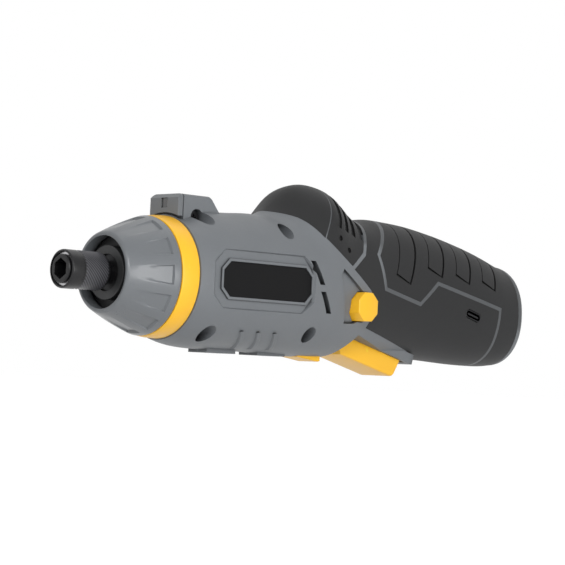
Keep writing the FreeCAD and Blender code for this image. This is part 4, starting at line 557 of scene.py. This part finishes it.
# %% Springs
TRIGGER_AXIS = (math.sin(FRAME_LEAN), 0.0, math.cos(FRAME_LEAN))
SPRINGS = {
    "chuck_spring": ("spindle", "chuck_sleeve_slide", (1, 0, 0), (2.5, 0, 0), 3.0, 6.45),
    "clutch_spring": ("body", "clutch_nut_slide", (1, 0, 0), (35.85, 0, 0), 3.0, 7.8),
    "trigger_spring": ("body", "trigger_pull", TRIGGER_AXIS, (144.84, 0, -9.84), 4.5, 6.1),
    "lamp_button_spring": ("body", "lamp_button_press", (0, 0, 1), (115.5, 0, -16.45), 1.5, 4.2),
}
for node_name, (body, joint, axis, fixed_end, travel, length) in SPRINGS.items():
    coil = bmesh.new()
    coil.from_mesh(frame["nodes"][node_name].data)
    spring = piece(f"{node_name}_coil", coil, body, "steel", "plain_steel", node_name)
    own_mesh(spring)

# %% [markdown]
# ## Camera
#
# The photograph was taken from the front left, a little below the spindle, with a long lens.
# The camera is placed from those angles and from where the bit socket lies in the picture.

# %% Camera
FRAME_PX = 565
FOCAL_PX = 2100.0
SOCKET_PX = (60.2, 268.3)
SOCKET_DEPTH = 714.3 * MM
AZIMUTH, ELEVATION, ROLL = (math.radians(angle) for angle in (-43.8, -2.6, 2.6))


def camera_axes():
    """Right, up and back of the camera in the tool's frame."""
    back = Vector((math.sin(AZIMUTH) * math.cos(ELEVATION), -math.cos(AZIMUTH) * math.cos(ELEVATION),
                   math.sin(ELEVATION)))
    right = Vector((math.cos(AZIMUTH), math.sin(AZIMUTH), 0.0))
    up = back.cross(right)
    turned = right * math.cos(ROLL) + up * math.sin(ROLL)
    return turned, up * math.cos(ROLL) - right * math.sin(ROLL), back


right, up, back = camera_axes()
half = FRAME_PX / 2
across = (SOCKET_PX[0] - half) / FOCAL_PX * SOCKET_DEPTH
above = (half - SOCKET_PX[1]) / FOCAL_PX * SOCKET_DEPTH
place = back * SOCKET_DEPTH - right * across - up * above
lens = bpy.data.cameras.new("photo_lens")
lens.sensor_width = 36.0
lens.lens = lens.sensor_width * FOCAL_PX / FRAME_PX
lens.clip_start = 0.01
camera = bpy.data.objects.new("photo_camera", lens)
camera.matrix_world = Matrix((right, up, back)).transposed().to_4x4()
camera.location = place
bpy.context.collection.objects.link(camera)
bpy.context.scene.camera = camera
print("camera at", [round(v, 3) for v in place], "lens", round(lens.lens, 1))

# %% [markdown]
# ## Floor and light
#
# The picture is a plain studio shot on white. A pale floor lies well below the tool, because
# the camera looks slightly upwards, and it sends light back to the underside. Where the camera
# or a mirror looks at it, the floor is lifted to white.

# %% Floor
FLOOR_DROP = 70 * MM
FLOOR_LIFT = 0.7
FLOOR_HALF = 12.0
FLOOR_MIDDLE = 0.1
PAPER = (0.86, 0.86, 0.86, 1.0)


def seen_directly(tree):
    """One where the camera, a mirror or a window looks, zero where light is gathered."""
    path = tree.nodes.new("ShaderNodeLightPath")
    looks = [Socket(tree, path.outputs[name]) for name in
             ("Is Camera Ray", "Is Glossy Ray", "Is Transmission Ray")]
    return looks[0].math("MAXIMUM", looks[1].math("MAXIMUM", looks[2]))


def pale_floor():
    """Large square of paper under the tool."""
    form = bmesh.new()
    bmesh.ops.create_grid(form, x_segments=1, y_segments=1, size=FLOOR_HALF)
    height = solid_box[0][2] - FLOOR_DROP
    bmesh.ops.translate(form, verts=form.verts, vec=(FLOOR_MIDDLE, 0.0, height))
    mesh = bpy.data.meshes.new("studio_floor")
    form.to_mesh(mesh)
    form.free()
    floor = bpy.data.objects.new("studio_floor", mesh)
    bpy.context.collection.objects.link(floor)
    material = bpy.data.materials.new("floor_white")
    material.use_nodes = True
    tree = material.node_tree
    paper = tree.nodes["Principled BSDF"]
    paper.inputs["Base Color"].default_value = PAPER
    paper.inputs["Roughness"].default_value = 0.9
    paper.inputs["Emission Strength"].default_value = FLOOR_LIFT
    seen_directly(tree).into(paper.inputs["Emission Color"])
    mesh.materials.append(material)


pale_floor()
print("floor", round(FLOOR_DROP / MM), "mm below the tool")

# %% [markdown]
# An even surround and three lamps light the tool at a plain level. The key lamp stands at the
# front left, the weakest one hangs above, and one at floor height brightens the lower side.


# %% Surround and lamps
def surround(strength):
    """Even light from all round, shown as white."""
    world = bpy.data.worlds.new("studio")
    world.use_nodes = True
    tree = world.node_tree
    sky = tree.nodes["Background"]
    white = tree.nodes.new("ShaderNodeBackground")
    sky.inputs["Color"].default_value = (1.0, 1.0, 1.0, 1.0)
    sky.inputs["Strength"].default_value = strength
    white.inputs["Color"].default_value = (1.0, 1.0, 1.0, 1.0)
    seen = seen_directly(tree)
    mixed = seen.node("ShaderNodeMixShader", {}, {
        0: seen, 1: Socket(tree, sky.outputs[0]), 2: Socket(tree, white.outputs[0])})
    mixed.into(tree.nodes["World Output"].inputs["Surface"])
    bpy.context.scene.world = world


def lamp(name, place, target, power, size):
    """Square area lamp that faces a point."""
    light = bpy.data.lights.new(name, "AREA")
    light.energy = power
    light.size = size
    holder = bpy.data.objects.new(name, light)
    holder.location = place
    holder.rotation_euler = (Vector(target) - Vector(place)).to_track_quat("-Z", "Y").to_euler()
    bpy.context.collection.objects.link(holder)


SURROUND_LEVEL = 0.3
TOOL_MIDDLE = (0.11, 0.0, 0.0)
surround(SURROUND_LEVEL)
lamp("key_lamp", (-0.55, -0.6, 0.3), TOOL_MIDDLE, power=3.7, size=0.35)
lamp("top_lamp", (0.3, 0.1, 0.9), TOOL_MIDDLE, power=1.1, size=0.7)
lamp("low_lamp", (0.0, -0.7, -0.06), TOOL_MIDDLE, power=3.3, size=0.4)
bpy.context.scene.view_settings.view_transform = "Standard"
print("lit and staged")
